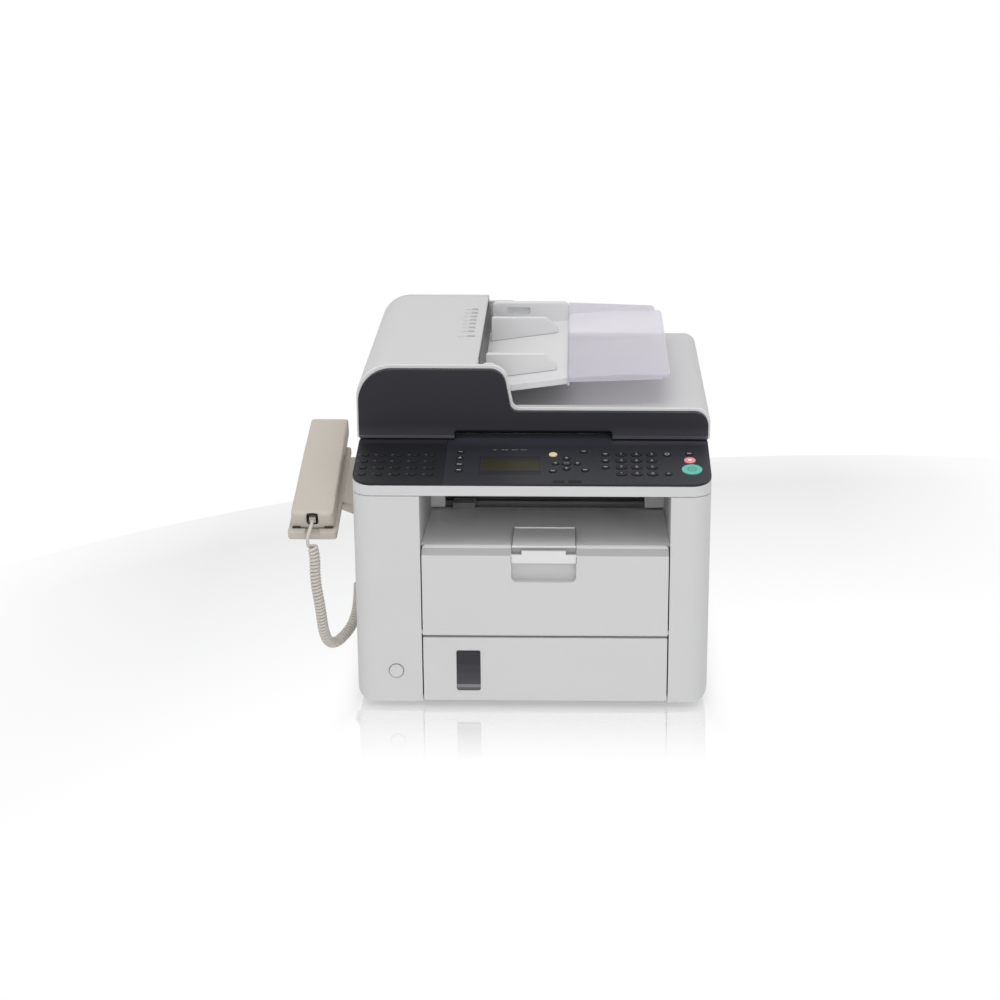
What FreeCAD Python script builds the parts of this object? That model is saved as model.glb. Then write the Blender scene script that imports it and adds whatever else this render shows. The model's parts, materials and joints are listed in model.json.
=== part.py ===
import FreeCAD, Part
import math
import os
import re
import Sketcher

V = FreeCAD.Vector
doc = FreeCAD.newDocument("fax_machine")
sheet = doc.addObject("Spreadsheet::Sheet", "sizes")

# Millimetres and degrees. X runs to the right from the middle of the body, Y backwards from the
# front face and Z up from the table; each finished piece is then moved to the shared origin.
SIZES = {
    # lower body
    "body_width": 388, "body_depth": 410, "wall": 3, "foot_height": 6, "foot_radius": 11,
    "foot_inset": 44, "corner_radius": 22, "base_round": 15, "sill": 14, "flange": 12,
    "seam_height": 246, "seam_gap": 0.6, "left_pillar": 73, "right_pillar": 44,
    "pillar_depth": 206, "rear_return": 22, "pan_thick": 4, "pan_front": 16,
    "rail_width": 3, "rail_height": 18, "rail_length": 310, "plate": 1.5, "plate_front": 30,
    "plate_inset": 15, "plate_drop": 8, "play": 0.05, "vent_pitch": 9, "vent_length": 70,
    "vent_height": 3.5, "vent_low": 126, "vent_front": 250, "stay_air": 5, "stay_front": 184,
    "stay_long": 15, "stay_left": 16, "stay_right": 22,
    # lift hinge of the scanner unit
    "lift_inset": 9, "lift_low": 10, "lift_pin": 3, "lug_radius": 5.5, "lug_width": 11,
    "lug_gap": 1, "lift_drop": 7, "lug_half": 4.3,
    # paper exit
    "tray_front": 16, "tray_step": 2, "tray_back": 200, "tray_fall": 22, "exit_step": 6,
    "exit_lean": 2,
    # front cover and its flap
    "door_split": 1.8, "door_high": 188, "door_round": 5, "door_thick": 14, "door_gap": 1.4,
    "bevel_y": 8, "bevel_drop": 10.5, "door_axis_y": 4, "door_axis_up": 4, "door_pin": 2.5,
    "pin_reach": 2.6, "handle_x": 13, "handle_width": 70.6, "pocket_drop": 40.3,
    "lip_drop": 18.6, "lip_tall": 9.6, "tab_tall": 4.5, "lip_thick": 3, "lip_set": 0.8, "lip_tab": 48,
    "flap_axis_y": 10, "flap_drop": 3, "flap_pin": 1.5, "flap_thick": 2.4, "flap_back": 80,
    "flap_air": 0.8, "flap_front": 4.9, "apron_thick": 1.6, "apron_drop": 4, "slide_air": 0.4,
    # cassette
    "cassette_top": 82, "rim_drop": 6.4, "cassette_end": 84, "cassette_skin": 12,
    "cassette_wall": 2.5, "side_room": 6, "window_x": -69.9, "window_width": 26.7,
    "window_low": 19, "window_drop": 14.8, "window_round": 3, "window_thick": 2,
    "paper_plate": 1.2, "paper_axis_y": 205, "paper_pin": 2, "paper_front": 22,
    # rollers and what fills the body
    "pickup_y": 60, "pickup_up": 14.6, "pickup_radius": 13, "pickup_shaft": 4, "pickup_width": 46,
    "fuser_inset": 58, "fuser_z": 140, "fuser_radius": 14, "fuser_shaft": 5, "fuser_end": 20,
    "delivery_y": 218, "delivery_up": 10, "delivery_radius": 8, "delivery_shaft": 3.5,
    "delivery_width": 14, "delivery_pitch": 58, "laser_front": 232, "laser_end": 82,
    "laser_low": 160, "laser_drop": 2, "toner_front": 80, "toner_back": 186, "toner_up": 9.6,
    "toner_air": 10, "drum_radius": 12, "board_inset": 28, "board_front": 230,
    "board_end": 20, "board_thick": 1.6, "board_high": 176,
    # back, sockets and power button
    "rear_low": 90, "rear_drop": 12, "rear_left_in": 82, "rear_right_in": 56, "rear_gap": 1.2,
    "rear_lift": 2.5, "rear_axis_in": 6, "rear_axis_up": 8, "rear_inside": 8, "rear_proud": 1.5,
    "ear_width": 6, "ear_size": 12, "inlet_in": 40, "inlet_width": 28, "inlet_height": 20,
    "inlet_z": 50, "port_width": 18, "port_height": 16, "port_z": 86, "port_in": 35,
    "usb_in": 56, "port_depth": 15, "socket_wall": 3, "jack_y": 178, "jack_pitch": 22,
    "jack_z": 116, "jack_size": 14, "jack_depth": 16, "jack_hole": 10, "jack_reach": 11,
    "button_in": 44.5, "button_z": 42.5, "button_radius": 7.5, "button_rim": 2,
    "button_proud": 1.5, "button_gap": 0.3,
    # scanner unit and control panel
    "scan_over": 8, "scan_rise": 31, "scan_floor": 4.4, "scan_wall": 8, "bezel_rise": 15,
    "panel_tilt": 9.65, "panel_thick": 3, "panel_back": 100.5, "tongue_gap": 0.5,
    "tongue_back": 117, "panel_margin": 8, "panel_wall": 4, "bay_front": 120, "bay_end": 24,
    "glass_thick": 3, "glass_ledge": 5, "glass_left_in": 44, "glass_right_in": 38,
    "glass_front": 135, "glass_end": 57, "strip_gap": 10, "strip_width": 20, "rod_drop": 19,
    "rod_radius": 4, "carriage_in": 4, "carriage_width": 18, "carriage_over": 5,
    "carriage_drop": 24, "carriage_air": 8,
    # keys: places are given on the panel's own slope
    "key_gap": 0.3, "key_proud": 1, "key_flange": 1, "flange_thick": 1.2, "flange_air": 0.06,
    "keypad_shift": 8.35, "keypad_first": 23, "key_pitch_x": 16.8, "key_pitch_y": 14.9,
    "key_wide": 11.6, "key_tall": 8.6, "start_in": 20.6, "start_along": 33.1,
    "start_radius": 11.2, "stop_in": 22, "stop_along": 54.3, "stop_radius": 6.4, "id_x": 22.4,
    "id_along": 66.7, "id_radius": 4.6, "touch_in": 10, "touch_pitch_x": 18.3,
    "touch_first": 20.9, "touch_pitch_y": 14.8, "touch_radius": 3.9, "menu_radius": 4,
    "menu_aside": 33.9, "ok_x": 37.3, "ok_along": 46.2, "ok_radius": 5.2, "groove_x": -95.5,
    "groove_wide": 1.2, "groove_deep": 0.8, "display_x": -24.2, "display_wide": 67,
    "display_front": 20, "display_tall": 43.5, "display_sunk": 0.3,
    # lid
    "lid_over": 3, "lid_gap": 1.5, "fascia_front": 100, "fascia_thick": 8, "fascia_inset": 2.6,
    "fascia_low": 0.2, "lid_end": 25, "lid_tall": 36, "hump_tall": 49, "hump_round": 37,
    "hump_end": -22, "hump_neck": 18, "hump_foot": 9, "lid_round": 15, "end_wall": 5,
    "notch_half": 89.6, "notch_tall": 14, "notch_back": 126, "notch_skin": 1.6,
    "notch_round": 6, "recess_left": -56, "recess_up": 20, "recess_right": 152,
    "recess_front": 120, "recess_end": 15, "fascia_chamfer": 5,
    "hollow_tall": 15, "hollow_rim": 6, "sheet_air": 0.3, "sheet_in": 19, "sheet_front": 128,
    "sheet_end": 63, "lid_axis_in": 11, "lid_axis_up": 9, "lid_pin": 3.5, "knuckle_radius": 8,
    "post_in": 57, "post_width": 28, "post_drop": 19, "post_lap": 14, "post_gap": 2,
    "post_side": 1, "pin_end": 6, "bar_tall": 5, "bar_width": 9,
    # document feeder
    "cover_end": -62, "cover_skin": 3, "lip_fall": 12, "cover_axis_in": 4.5,
    "cover_axis_up": 11, "cover_barrel": 4.5, "cover_pin": 2.5, "cover_gap": 0.6, "rib_count": 7,
    "rib_front": 252, "rib_pitch": 17.5, "rib_thick": 3, "rib_proud": 1.2, "rib_x": -80,
    "rib_length": 16, "mark_front": 230, "mark_length": 20, "feed_x": -104, "feed_up": 16,
    "feed_radius": 10, "feed_shaft": 3, "feed_tyre": 30, "rear_wall": 7, "rear_trim": 7,
    # document tray, extension and guides
    "sheet_left": -59, "sheet_up": 12, "sheet_right": 37.6, "sheet_rise": 13,
    "sheet_thick": 3.6, "sheet_tray_front": 131, "tray_end": 20, "rim_thick": 4,
    "rim_high": 3.5, "back_wall": 12, "back_drop": 3, "back_from": -56.5, "grip_left": -38,
    "grip_width": 28, "grip_drop": 5, "grip_tall": 9, "grip_deep": 5, "tray_axis_x": -50,
    "tray_axis_drop": 14, "tray_pin": 3, "tray_ear": 5, "ear_right": -42, "ear_drop": 4.5,
    "ext_end": 153, "ext_front": 120, "ext_inset": 22, "ext_thick": 2.4, "ext_lip": 5,
    "ext_step": 6.5, "ext_mid_x": 104, "ext_arch": 11, "ext_tip": 10.4, "ext_round": 9,
    "ext_crown": 300, "gusset_end": 144, "gusset_thick": 2.4, "gusset_drop": 4, "gusset_tip": 6,
    "guide_left": -56, "guide_right": 25, "guide_drop": 7, "guide_thick": 8, "guide_front_y": 180,
    "guide_rear_y": 346, "guide_air": 0.25,
    # handset, cradle and cord
    "handset_out": 49, "rest_front": 50.7, "rest_drop": 56.5, "rest_tilt": 14.5,
    "handset_length": 201, "handset_low_width": 47.5, "handset_top_width": 44,
    "handset_thick": 23, "handset_grip": 8, "handset_mouth": 50, "handset_ear": 52,
    "grip_slope": 14, "handset_round": 6, "edge_round": 3, "cup_width": 12, "cup_low": 6,
    "cup_high": 19, "cup_deep": 13, "cup_middle": 11, "cradle_width": 54, "cradle_low": -7,
    "cradle_air": 0.4, "cradle_front": -10, "cradle_back": 170, "cradle_lip": 2.5,
    "cradle_lip_back": -2, "cradle_round": 4, "lip_notch": 16, "arm_front": 58,
    "arm_back": 150, "arm_flare": 14, "arm_low": -14, "hook_at": 162, "hook_wide": 12,
    "hook_long": 8, "hook_low": -5, "hook_gap": 0.4, "plug_size": 7, "plug_length": 11,
    "plug_air": 0.5, "cord_wire": 3, "cord_coil": 12.2, "cord_pitch": 4.3, "cord_tail": 30,
    "cord_lead": 50,
}

# Places that follow from the sizes above.
PLACES = {
    "plate_back": "body_depth - plate_inset", "plate_top": "seam_height - plate_drop",
    "lift_axis_y": "body_depth - lift_inset", "lift_axis_z": "seam_height - lift_low",
    "tray_front_z": "door_high - tray_step", "tray_back_z": "tray_front_z - tray_fall",
    "exit_sill": "tray_back_z + exit_step", "door_low": "cassette_top + door_split",
    "bevel_z": "door_high - bevel_drop", "door_axis_z": "door_low + door_axis_up",
    "pocket_low": "door_high - pocket_drop", "lip_low": "door_high - lip_drop",
    "lip_high": "lip_low + lip_tall", "lip_top": "lip_high + tab_tall",
    "flap_axis_z": "door_high - flap_drop", "cassette_rim": "cassette_top - rim_drop",
    "cassette_back": "body_depth - cassette_end", "window_high": "cassette_top - window_drop",
    "pickup_z": "cassette_top + pickup_up", "fuser_y": "body_depth - fuser_inset",
    "delivery_z": "exit_sill + delivery_up", "laser_back": "body_depth - laser_end",
    "laser_high": "seam_height - laser_drop", "toner_low": "cassette_top + toner_up",
    "toner_high": "tray_back_z - toner_air", "board_back": "body_depth - board_end",
    "rear_high": "seam_height - rear_drop", "rear_left": "body_width / 2 - rear_left_in",
    "rear_right": "body_width / 2 - rear_right_in", "rear_axis_y": "body_depth - rear_axis_in",
    "rear_axis_z": "rear_low + rear_axis_up", "inlet_x": "inlet_in - body_width / 2",
    "port_x": "port_in - body_width / 2", "usb_x": "usb_in - body_width / 2",
    "button_x": "button_in - body_width / 2", "scan_depth": "body_depth + scan_over",
    "platen_height": "seam_height + scan_rise", "panel_height": "seam_height + bezel_rise",
    "tongue_half": "notch_half - notch_skin - tongue_gap", "bay_back": "scan_depth - bay_end",
    "glass_left": "glass_left_in - body_width / 2", "glass_right": "body_width / 2 - glass_right_in",
    "glass_back": "scan_depth - glass_end", "strip_right": "glass_left - strip_gap",
    "strip_left": "strip_right - strip_width", "rod_y": "(glass_front + glass_back) / 2",
    "rod_z": "platen_height - rod_drop", "carriage_left": "strip_left + carriage_in",
    "carriage_front": "glass_front - carriage_over", "carriage_back": "glass_back + carriage_over",
    "carriage_low": "platen_height - carriage_drop", "carriage_high": "platen_height - carriage_air",
    "start_x": "body_width / 2 - start_in", "stop_x": "body_width / 2 - stop_in",
    "keypad_x": "(ok_x + start_x) / 2 + keypad_shift", "touch_first_x": "touch_in - body_width / 2",
    "lid_width": "body_width + lid_over * 2", "lid_back": "body_depth + lid_end",
    "lid_top": "platen_height + lid_tall", "hump_top": "lid_top + hump_tall",
    "notch_high": "platen_height + notch_tall", "recess_low": "platen_height + recess_up",
    "recess_back": "lid_back - recess_end", "hollow_top": "platen_height + hollow_tall",
    "sheet_half": "lid_width / 2 - sheet_in", "sheet_back": "lid_back - sheet_end",
    "lid_axis_y": "lid_back - lid_axis_in", "lid_axis_z": "platen_height + lid_axis_up",
    "post_x": "lid_width / 2 - post_in", "post_foot": "platen_height - post_drop",
    "post_front": "scan_depth - post_lap", "post_back": "scan_depth - post_gap",
    "bar_high": "lid_top + bar_tall", "cover_lip": "hump_top - lip_fall",
    "cover_axis_x": "cover_axis_in - lid_width / 2", "cover_axis_z": "lid_top + cover_axis_up",
    "feed_z": "lid_top + feed_up", "sheet_left_z": "lid_top + sheet_up",
    "sheet_right_z": "sheet_left_z + sheet_rise", "sheet_tray_back": "lid_back - tray_end",
    "back_high": "hump_top - back_drop", "grip_high": "back_high - grip_drop",
    "tray_axis_z": "hump_top - tray_axis_drop", "ear_top": "hump_top - ear_drop",
    "ext_back": "lid_back - ext_inset", "ext_start_z": "sheet_right_z + ext_step",
    "ext_mid_z": "sheet_right_z + ext_arch", "ext_end_z": "sheet_right_z + ext_tip",
    "gusset_high": "hump_top - gusset_drop", "guide_top": "hump_top - guide_drop",
    "handset_x": "-body_width / 2 - handset_out", "rest_height": "seam_height - rest_drop",
}

for row, (alias, value) in enumerate([*SIZES.items(), *PLACES.items()], 1):
    sheet.set(f"A{row}", alias)
    sheet.set(f"B{row}", f"={value}" if alias in PLACES else str(value))
    sheet.setAlias(f"B{row}", alias)
doc.recompute()

# Shared places, written with the size names.
LEFT = "(-body_width / 2)"
RIGHT = "(body_width / 2)"
GATE_LEFT = "(-body_width / 2 + left_pillar)"
GATE_RIGHT = "(body_width / 2 - right_pillar)"
PAN_TOP = "(foot_height + pan_thick)"
SCAN_LOW = "(seam_height + seam_gap)"
LID_LOW = "(platen_height + lid_gap)"
WALL_FRONT = "(fascia_front + fascia_thick)"
WALL_BACK = "(fascia_front + fascia_thick + end_wall)"
REAR_FRONT = "(lid_back - rear_wall)"
HANDLE_LEFT = "(handle_x - handle_width / 2)"
HANDLE_RIGHT = "(handle_x + handle_width / 2)"
HANDSET_OUT = "(-handset_x + cradle_width / 2)"
SHIFT = (f"({HANDSET_OUT} - lid_width / 2) / 2", "-lid_back / 2", "0")
PANEL = ("0", "0", "panel_height", "panel_tilt")
REST = ("handset_x", "rest_front", "rest_height", "rest_tilt")

PIECES = []
NAMES = {*SIZES, *PLACES}


def expand(text):
    """Turn the size names in a text into cells of the sheet."""
    return re.sub(
        r"[a-z][a-z_0-9]*",
        lambda hit: "sizes." + hit[0] if hit[0] in NAMES else hit[0],
        str(text),
    )


def number(text):
    """Value of a text written with size names."""
    return float(sheet.evalExpression(expand(text)))


def bind(thing, prop, text):
    """Drive one property of an object by the sizes."""
    thing.setExpression(prop, expand(text))


def box(x, y, z):
    """Block between the low and high place on each axis."""
    block = doc.addObject("Part::Box", "block")
    for prop, axis, (low, high) in zip(("Length", "Width", "Height"), "xyz", (x, y, z)):
        bind(block, prop, f"({high}) - ({low})")
        bind(block, f"Placement.Base.{axis}", low)
    return block


def rod(axis, first, second, radius, low, high):
    """Cylinder along an axis; first and second place its centre on the other two axes."""
    turns = {
        "x": FreeCAD.Rotation(V(0, 1, 0), 90),
        "y": FreeCAD.Rotation(V(1, 0, 0), -90),
        "z": FreeCAD.Rotation(),
    }
    shaft = doc.addObject("Part::Cylinder", "rod")
    shaft.Placement = FreeCAD.Placement(V(), turns[axis])
    bind(shaft, "Radius", radius)
    bind(shaft, "Height", f"({high}) - ({low})")
    others = [name for name in "xyz" if name != axis]
    bind(shaft, f"Placement.Base.{axis}", low)
    bind(shaft, f"Placement.Base.{others[0]}", first)
    bind(shaft, f"Placement.Base.{others[1]}", second)
    return shaft


def corner_arc(before, corner, after, radius):
    """Start, end and centre of the arc that rounds a corner."""
    back = (before - corner).normalize()
    ahead = (after - corner).normalize()
    half = back.getAngle(ahead) / 2
    reach = radius / math.tan(half)
    centre = corner + (back + ahead).normalize() * (radius / math.sin(half))
    return corner + back * reach, corner + ahead * reach, centre


def place_point(outline, geometry, end, across, up):
    """Hold a sketch point at a place written with the sizes."""
    for kind, text in (("DistanceX", across), ("DistanceY", up)):
        rule = Sketcher.Constraint(kind, -1, 1, geometry, end, number(text))
        index = outline.addConstraint(rule)
        bind(outline, f"Constraints[{index}]", text)


def round_corner(outline, into, out, corner, point, arc):
    """Add a tangent arc between two lines that aim at a held corner point."""
    start, end, centre = arc
    radius = number(corner[2])
    left_turn = (start - centre).cross(end - centre).z > 0
    first, last = (start, end) if left_turn else (end, start)
    angles = [math.atan2(spot.y - centre.y, spot.x - centre.x) for spot in (first, last)]
    circle = Part.Circle(centre, V(0, 0, 1), radius)
    bend = outline.addGeometry(Part.ArcOfCircle(circle, *angles))
    near, far = (1, 2) if left_turn else (2, 1)
    outline.addConstraint(Sketcher.Constraint("Tangent", into, 2, bend, near))
    outline.addConstraint(Sketcher.Constraint("Tangent", bend, far, out, 1))
    index = outline.addConstraint(Sketcher.Constraint("Radius", bend, radius))
    bind(outline, f"Constraints[{index}]", corner[2])
    held = outline.addGeometry(Part.Point(point), True)
    outline.addConstraint(Sketcher.Constraint("PointOnObject", held, 1, into))
    outline.addConstraint(Sketcher.Constraint("PointOnObject", held, 1, out))
    place_point(outline, held, 1, corner[0], corner[1])


def draw(outline, corners):
    """Closed outline through corners (across, up) or (across, up, radius)."""
    points = [V(number(corner[0]), number(corner[1]), 0) for corner in corners]
    arcs = []
    for index, corner in enumerate(corners):
        after = points[(index + 1) % len(points)]
        if len(corner) > 2:
            arcs.append(corner_arc(points[index - 1], points[index], after, number(corner[2])))
        else:
            arcs.append((points[index],) * 3)
    lines = [
        outline.addGeometry(Part.LineSegment(arcs[index - 1][1], arcs[index][0]))
        for index in range(len(corners))
    ]
    for index, corner in enumerate(corners):
        into, out = lines[index], lines[(index + 1) % len(lines)]
        if len(corner) > 2:
            round_corner(outline, into, out, corner, points[index], arcs[index])
        else:
            outline.addConstraint(Sketcher.Constraint("Coincident", into, 2, out, 1))
            place_point(outline, into, 2, corner[0], corner[1])


def prism(plane, low, high, corners):
    """Body padded from an outline on the XY, XZ or YZ plane between two places."""
    body = doc.addObject("PartDesign::Body", "body")
    outline = body.newObject("Sketcher::SketchObject", "outline")
    role = plane + "_Plane"
    support = [face for face in body.Origin.OriginFeatures if face.Role == role][0]
    outline.AttachmentSupport = [(support, "")]
    outline.MapMode = "FlatFace"
    bind(outline, "AttachmentOffset.Base.z", f"-({high})" if plane == "XZ" else low)
    draw(outline, corners)
    pad = body.newObject("PartDesign::Pad", "pad")
    pad.Profile = outline
    bind(pad, "Length", f"({high}) - ({low})")
    outline.Visibility = False
    return body


def fuse(*pieces):
    """One solid from several."""
    joined = doc.addObject("Part::MultiFuse", "fuse")
    joined.Shapes = list(pieces)
    joined.Refine = True
    return joined


def cut(base, *tools):
    """The base with the tools taken away."""
    trimmed = doc.addObject("Part::Cut", "cut")
    trimmed.Base = base
    trimmed.Tool = tools[0] if len(tools) == 1 else fuse(*tools)
    return trimmed


def common(first, second):
    """What two solids share."""
    shared = doc.addObject("Part::MultiCommon", "common")
    shared.Shapes = [first, second]
    return shared


def group(*pieces):
    """Several loose solids kept in one object."""
    held = doc.addObject("Part::Compound", "group")
    held.Links = list(pieces)
    return held


def keep(label, piece, seat=None):
    """Name a finished piece and move it to the shared origin, tilted where it has a seat."""
    if piece.TypeId in ("Part::Box", "Part::Cylinder"):
        piece = group(piece)
    piece.Label = label
    base = list(SHIFT)
    if seat:
        base = [f"({own}) + ({shift})" for own, shift in zip(seat, SHIFT)]
        piece.Placement = FreeCAD.Placement(V(), FreeCAD.Rotation(V(1, 0, 0), number(seat[3])))
        bind(piece, "Placement.Rotation.Angle", seat[3])
    for axis, text in zip("xyz", base):
        bind(piece, f"Placement.Base.{axis}", text)
    PIECES.append(piece)


def base_parts():
    """Floor pan with cassette rails, and the four feet."""
    half = f"{RIGHT} - flange"
    pan = prism("XY", "foot_height", PAN_TOP, [
        (GATE_LEFT, "pan_front"), (GATE_RIGHT, "pan_front"), (GATE_RIGHT, "pillar_depth"),
        (half, "pillar_depth"), (half, "body_depth - wall"), (f"-({half})", "body_depth - wall"),
        (f"-({half})", "pillar_depth"), (GATE_LEFT, "pillar_depth"),
    ])
    rails = []
    for start in (f"{GATE_LEFT} + rail_width / 2", f"{GATE_RIGHT} - rail_width * 1.5"):
        rails.append(box(
            (start, f"{start} + rail_width"),
            ("pan_front + rail_width", "pan_front + rail_width + rail_length"),
            ("foot_height", f"{PAN_TOP} + rail_height"),
        ))
    keep("base_pan", fuse(pan, *rails))
    feet = []
    for side in ("-1", "1"):
        for deep in ("foot_inset", "body_depth - foot_inset"):
            x = f"{side} * ({RIGHT} - foot_inset)"
            if deep == "foot_inset":
                edge = GATE_LEFT if side == "-1" else GATE_RIGHT
                x = f"{edge} - {side} * foot_radius * 2"
            feet.append(rod("z", x, deep, "foot_radius", "0", "foot_height"))
    keep("feet", group(*feet))


def side_cover(label, side, pillar):
    """Outer shell of one side with its front pillar, stay, pins and openings."""
    def out(text):
        return f"{side} * ({text})"

    outer, inner = RIGHT, f"{RIGHT} - {pillar}"
    skin = prism("XY", "foot_height", "seam_height", [
        (out(outer), "0", "corner_radius"), (out(inner), "0"), (out(inner), "pillar_depth"),
        (out(f"{outer} - flange"), "pillar_depth"),
        (out(f"{outer} - flange"), "body_depth - wall"),
        (out(f"{outer} - rear_return"), "body_depth - wall"),
        (out(f"{outer} - rear_return"), "body_depth"), (out(outer), "body_depth"),
    ])
    shell = common(skin, prism("XZ", "-1", "body_depth + 1", [
        (out(f"{inner} - 1"), "foot_height"), (out(outer), "foot_height", "base_round"),
        (out(outer), "seam_height + 1"), (out(f"{inner} - 1"), "seam_height + 1"),
    ]))
    room = prism("XY", "foot_height + sill", "seam_height + 1", [
        (out(f"{outer} - wall"), "wall", "corner_radius - wall"), (out(f"{inner} + wall"), "wall"),
        (out(f"{inner} + wall"), "pillar_depth + 1"),
        (out(f"{outer} - flange - 1"), "pillar_depth + 1"),
        (out(f"{outer} - flange - 1"), "body_depth - wall"),
        (out(f"{outer} - wall"), "body_depth - wall"),
    ])
    ends = sorted((out(f"{outer} + 1"), out(f"{outer} - rear_return - 1")), key=number)
    drop = box(ends, ("lift_axis_y - lug_radius - 2", "body_depth + 1"),
               ("seam_height - lift_drop", "seam_height + 1"))
    through = sorted((out(f"{inner} - 1"), out(f"{inner} + wall + 1")), key=number)
    blind = sorted((out(f"{inner} - 1"), out(f"{inner} + wall")), key=number)
    tools = [
        room, drop,
        rod("x", "door_axis_y", "door_axis_z", "door_pin + play", *blind),
        rod("x", "pickup_y", "pickup_z", "pickup_shaft + 1", *through),
    ]
    wall_ends = sorted((out(f"{outer} - wall - 1"), out(f"{outer} + 1")), key=number)
    for step in range(8):
        low = f"vent_low + vent_pitch * {step}"
        tools.append(box(wall_ends, ("vent_front", "vent_front + vent_length"),
                         (low, f"{low} + vent_height")))
    if side == "-1":
        tools.append(rod("y", "button_x", "button_z", "button_radius + button_gap", "-1", "wall + 1"))
        for step in range(3):
            middle = f"jack_y + jack_pitch * {step}"
            tools.append(box(wall_ends, (f"{middle} - jack_size / 2", f"{middle} + jack_size / 2"),
                             ("jack_z - jack_size / 2", "jack_z + jack_size / 2")))
    pin_ends = (out(f"{outer} - wall / 2"), out(f"{outer} - wall - lug_gap * 2 - lug_width"))
    pin = rod("x", "lift_axis_y", "lift_axis_z", "lift_pin", *sorted(pin_ends, key=number))
    reach = "stay_left" if side == "-1" else "stay_right"
    stay_ends = sorted((out(f"{inner} + wall / 2"), out(f"{inner} - {reach}")), key=number)
    stay = box(stay_ends, ("stay_front", "stay_front + stay_long"),
               ("tray_back_z + stay_air", "seam_height"))
    keep(label, fuse(cut(shell, *tools), pin, stay))


def frame_plates():
    """Two sheet plates that stand outside the paper path and carry the roller shafts."""
    plates = []
    for low in (f"{GATE_LEFT} - wall - plate", f"{GATE_RIGHT} + wall"):
        sheet_metal = prism("YZ", low, f"{low} + plate", [
            ("plate_front", "foot_height + sill"), ("pillar_depth", "foot_height + sill"),
            ("pillar_depth", PAN_TOP), ("plate_back", PAN_TOP), ("plate_back", "plate_top"),
            ("plate_front", "plate_top"),
        ])
        ends = (f"{low} - 1", f"{low} + plate + 1")
        plates.append(cut(
            sheet_metal,
            rod("x", "pickup_y", "pickup_z", "pickup_shaft + play", *ends),
            rod("x", "fuser_y", "fuser_z", "fuser_shaft + play", *ends),
            rod("x", "delivery_y", "delivery_z", "delivery_shaft + play", *ends),
        ))
    keep("side_plates", group(*plates))


def exit_tray():
    """Sloped floor of the paper exit with its back wall."""
    keep("output_tray", prism("YZ", GATE_LEFT, GATE_RIGHT, [
        ("tray_front", "tray_front_z"), ("tray_back", "tray_back_z", "wall * 2"),
        ("tray_back + exit_lean", "exit_sill"), ("tray_back + exit_lean + wall", "exit_sill"),
        ("tray_back + wall", "tray_back_z - wall", "wall"), ("tray_front", "tray_front_z - wall"),
    ]))


def shaft_roller(label, y, z, shaft, radius, tyres):
    """Shaft from plate to plate with tyres given as (low, high) places."""
    ends = (f"{GATE_LEFT} - wall - plate * 2", f"{GATE_RIGHT} + wall + plate * 2")
    core = rod("x", y, z, shaft, *ends)
    keep(label, fuse(core, *[rod("x", y, z, radius, low, high) for low, high in tyres]))


def rollers():
    """Pick-up, fixing and delivery rollers."""
    middle = f"({GATE_LEFT} + {GATE_RIGHT}) / 2"
    shaft_roller("pickup_roller", "pickup_y", "pickup_z", "pickup_shaft", "pickup_radius",
                 [(f"{middle} - pickup_width / 2", f"{middle} + pickup_width / 2")])
    shaft_roller("fuser_roller", "fuser_y", "fuser_z", "fuser_shaft", "fuser_radius",
                 [(f"{GATE_LEFT} + fuser_end", f"{GATE_RIGHT} - fuser_end")])
    tyres = []
    for step in (-1.5, -0.5, 0.5, 1.5):
        centre = f"{middle} + delivery_pitch * {step}"
        tyres.append((f"{centre} - delivery_width / 2", f"{centre} + delivery_width / 2"))
    shaft_roller("delivery_roller", "delivery_y", "delivery_z", "delivery_shaft",
                 "delivery_radius", tyres)


def inner_units():
    """Laser housing, toner cartridge with its drum, and the two circuit boards."""
    keep("laser_unit", prism("YZ", f"{GATE_LEFT} - wall", f"{GATE_RIGHT} + wall", [
        ("laser_front", "laser_low + wall * 5"), ("laser_front + wall * 4", "laser_low"),
        ("laser_back", "laser_low"), ("laser_back", "laser_high - wall * 3"),
        ("laser_back - wall * 4", "laser_high"), ("laser_front", "laser_high"),
    ]))
    hopper = prism("YZ", f"{GATE_LEFT} + wall", f"{GATE_RIGHT} - wall", [
        ("toner_front", "toner_low + wall * 3"), ("toner_front + wall * 4", "toner_low"),
        ("toner_back - drum_radius", "toner_low"), ("toner_back - drum_radius", "toner_high"),
        ("toner_front + wall * 3", "toner_high"), ("toner_front", "toner_high - wall * 3"),
    ])
    drum_y, drum_z = "toner_back - drum_radius", "toner_low + drum_radius"
    drum = rod("x", drum_y, drum_z, "drum_radius", f"{GATE_LEFT} + wall * 3", f"{GATE_RIGHT} - wall * 3")
    pins = rod("x", drum_y, drum_z, "drum_radius / 2", GATE_LEFT, GATE_RIGHT)
    keep("toner_cartridge", fuse(hopper, drum, pins))
    boards = []
    for low in (f"{LEFT} + board_inset", f"{RIGHT} - board_inset - board_thick"):
        boards.append(box((low, f"{low} + board_thick"), ("board_front", "board_back"),
                          (PAN_TOP, "board_high")))
    keep("circuit_boards", group(*boards))


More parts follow.
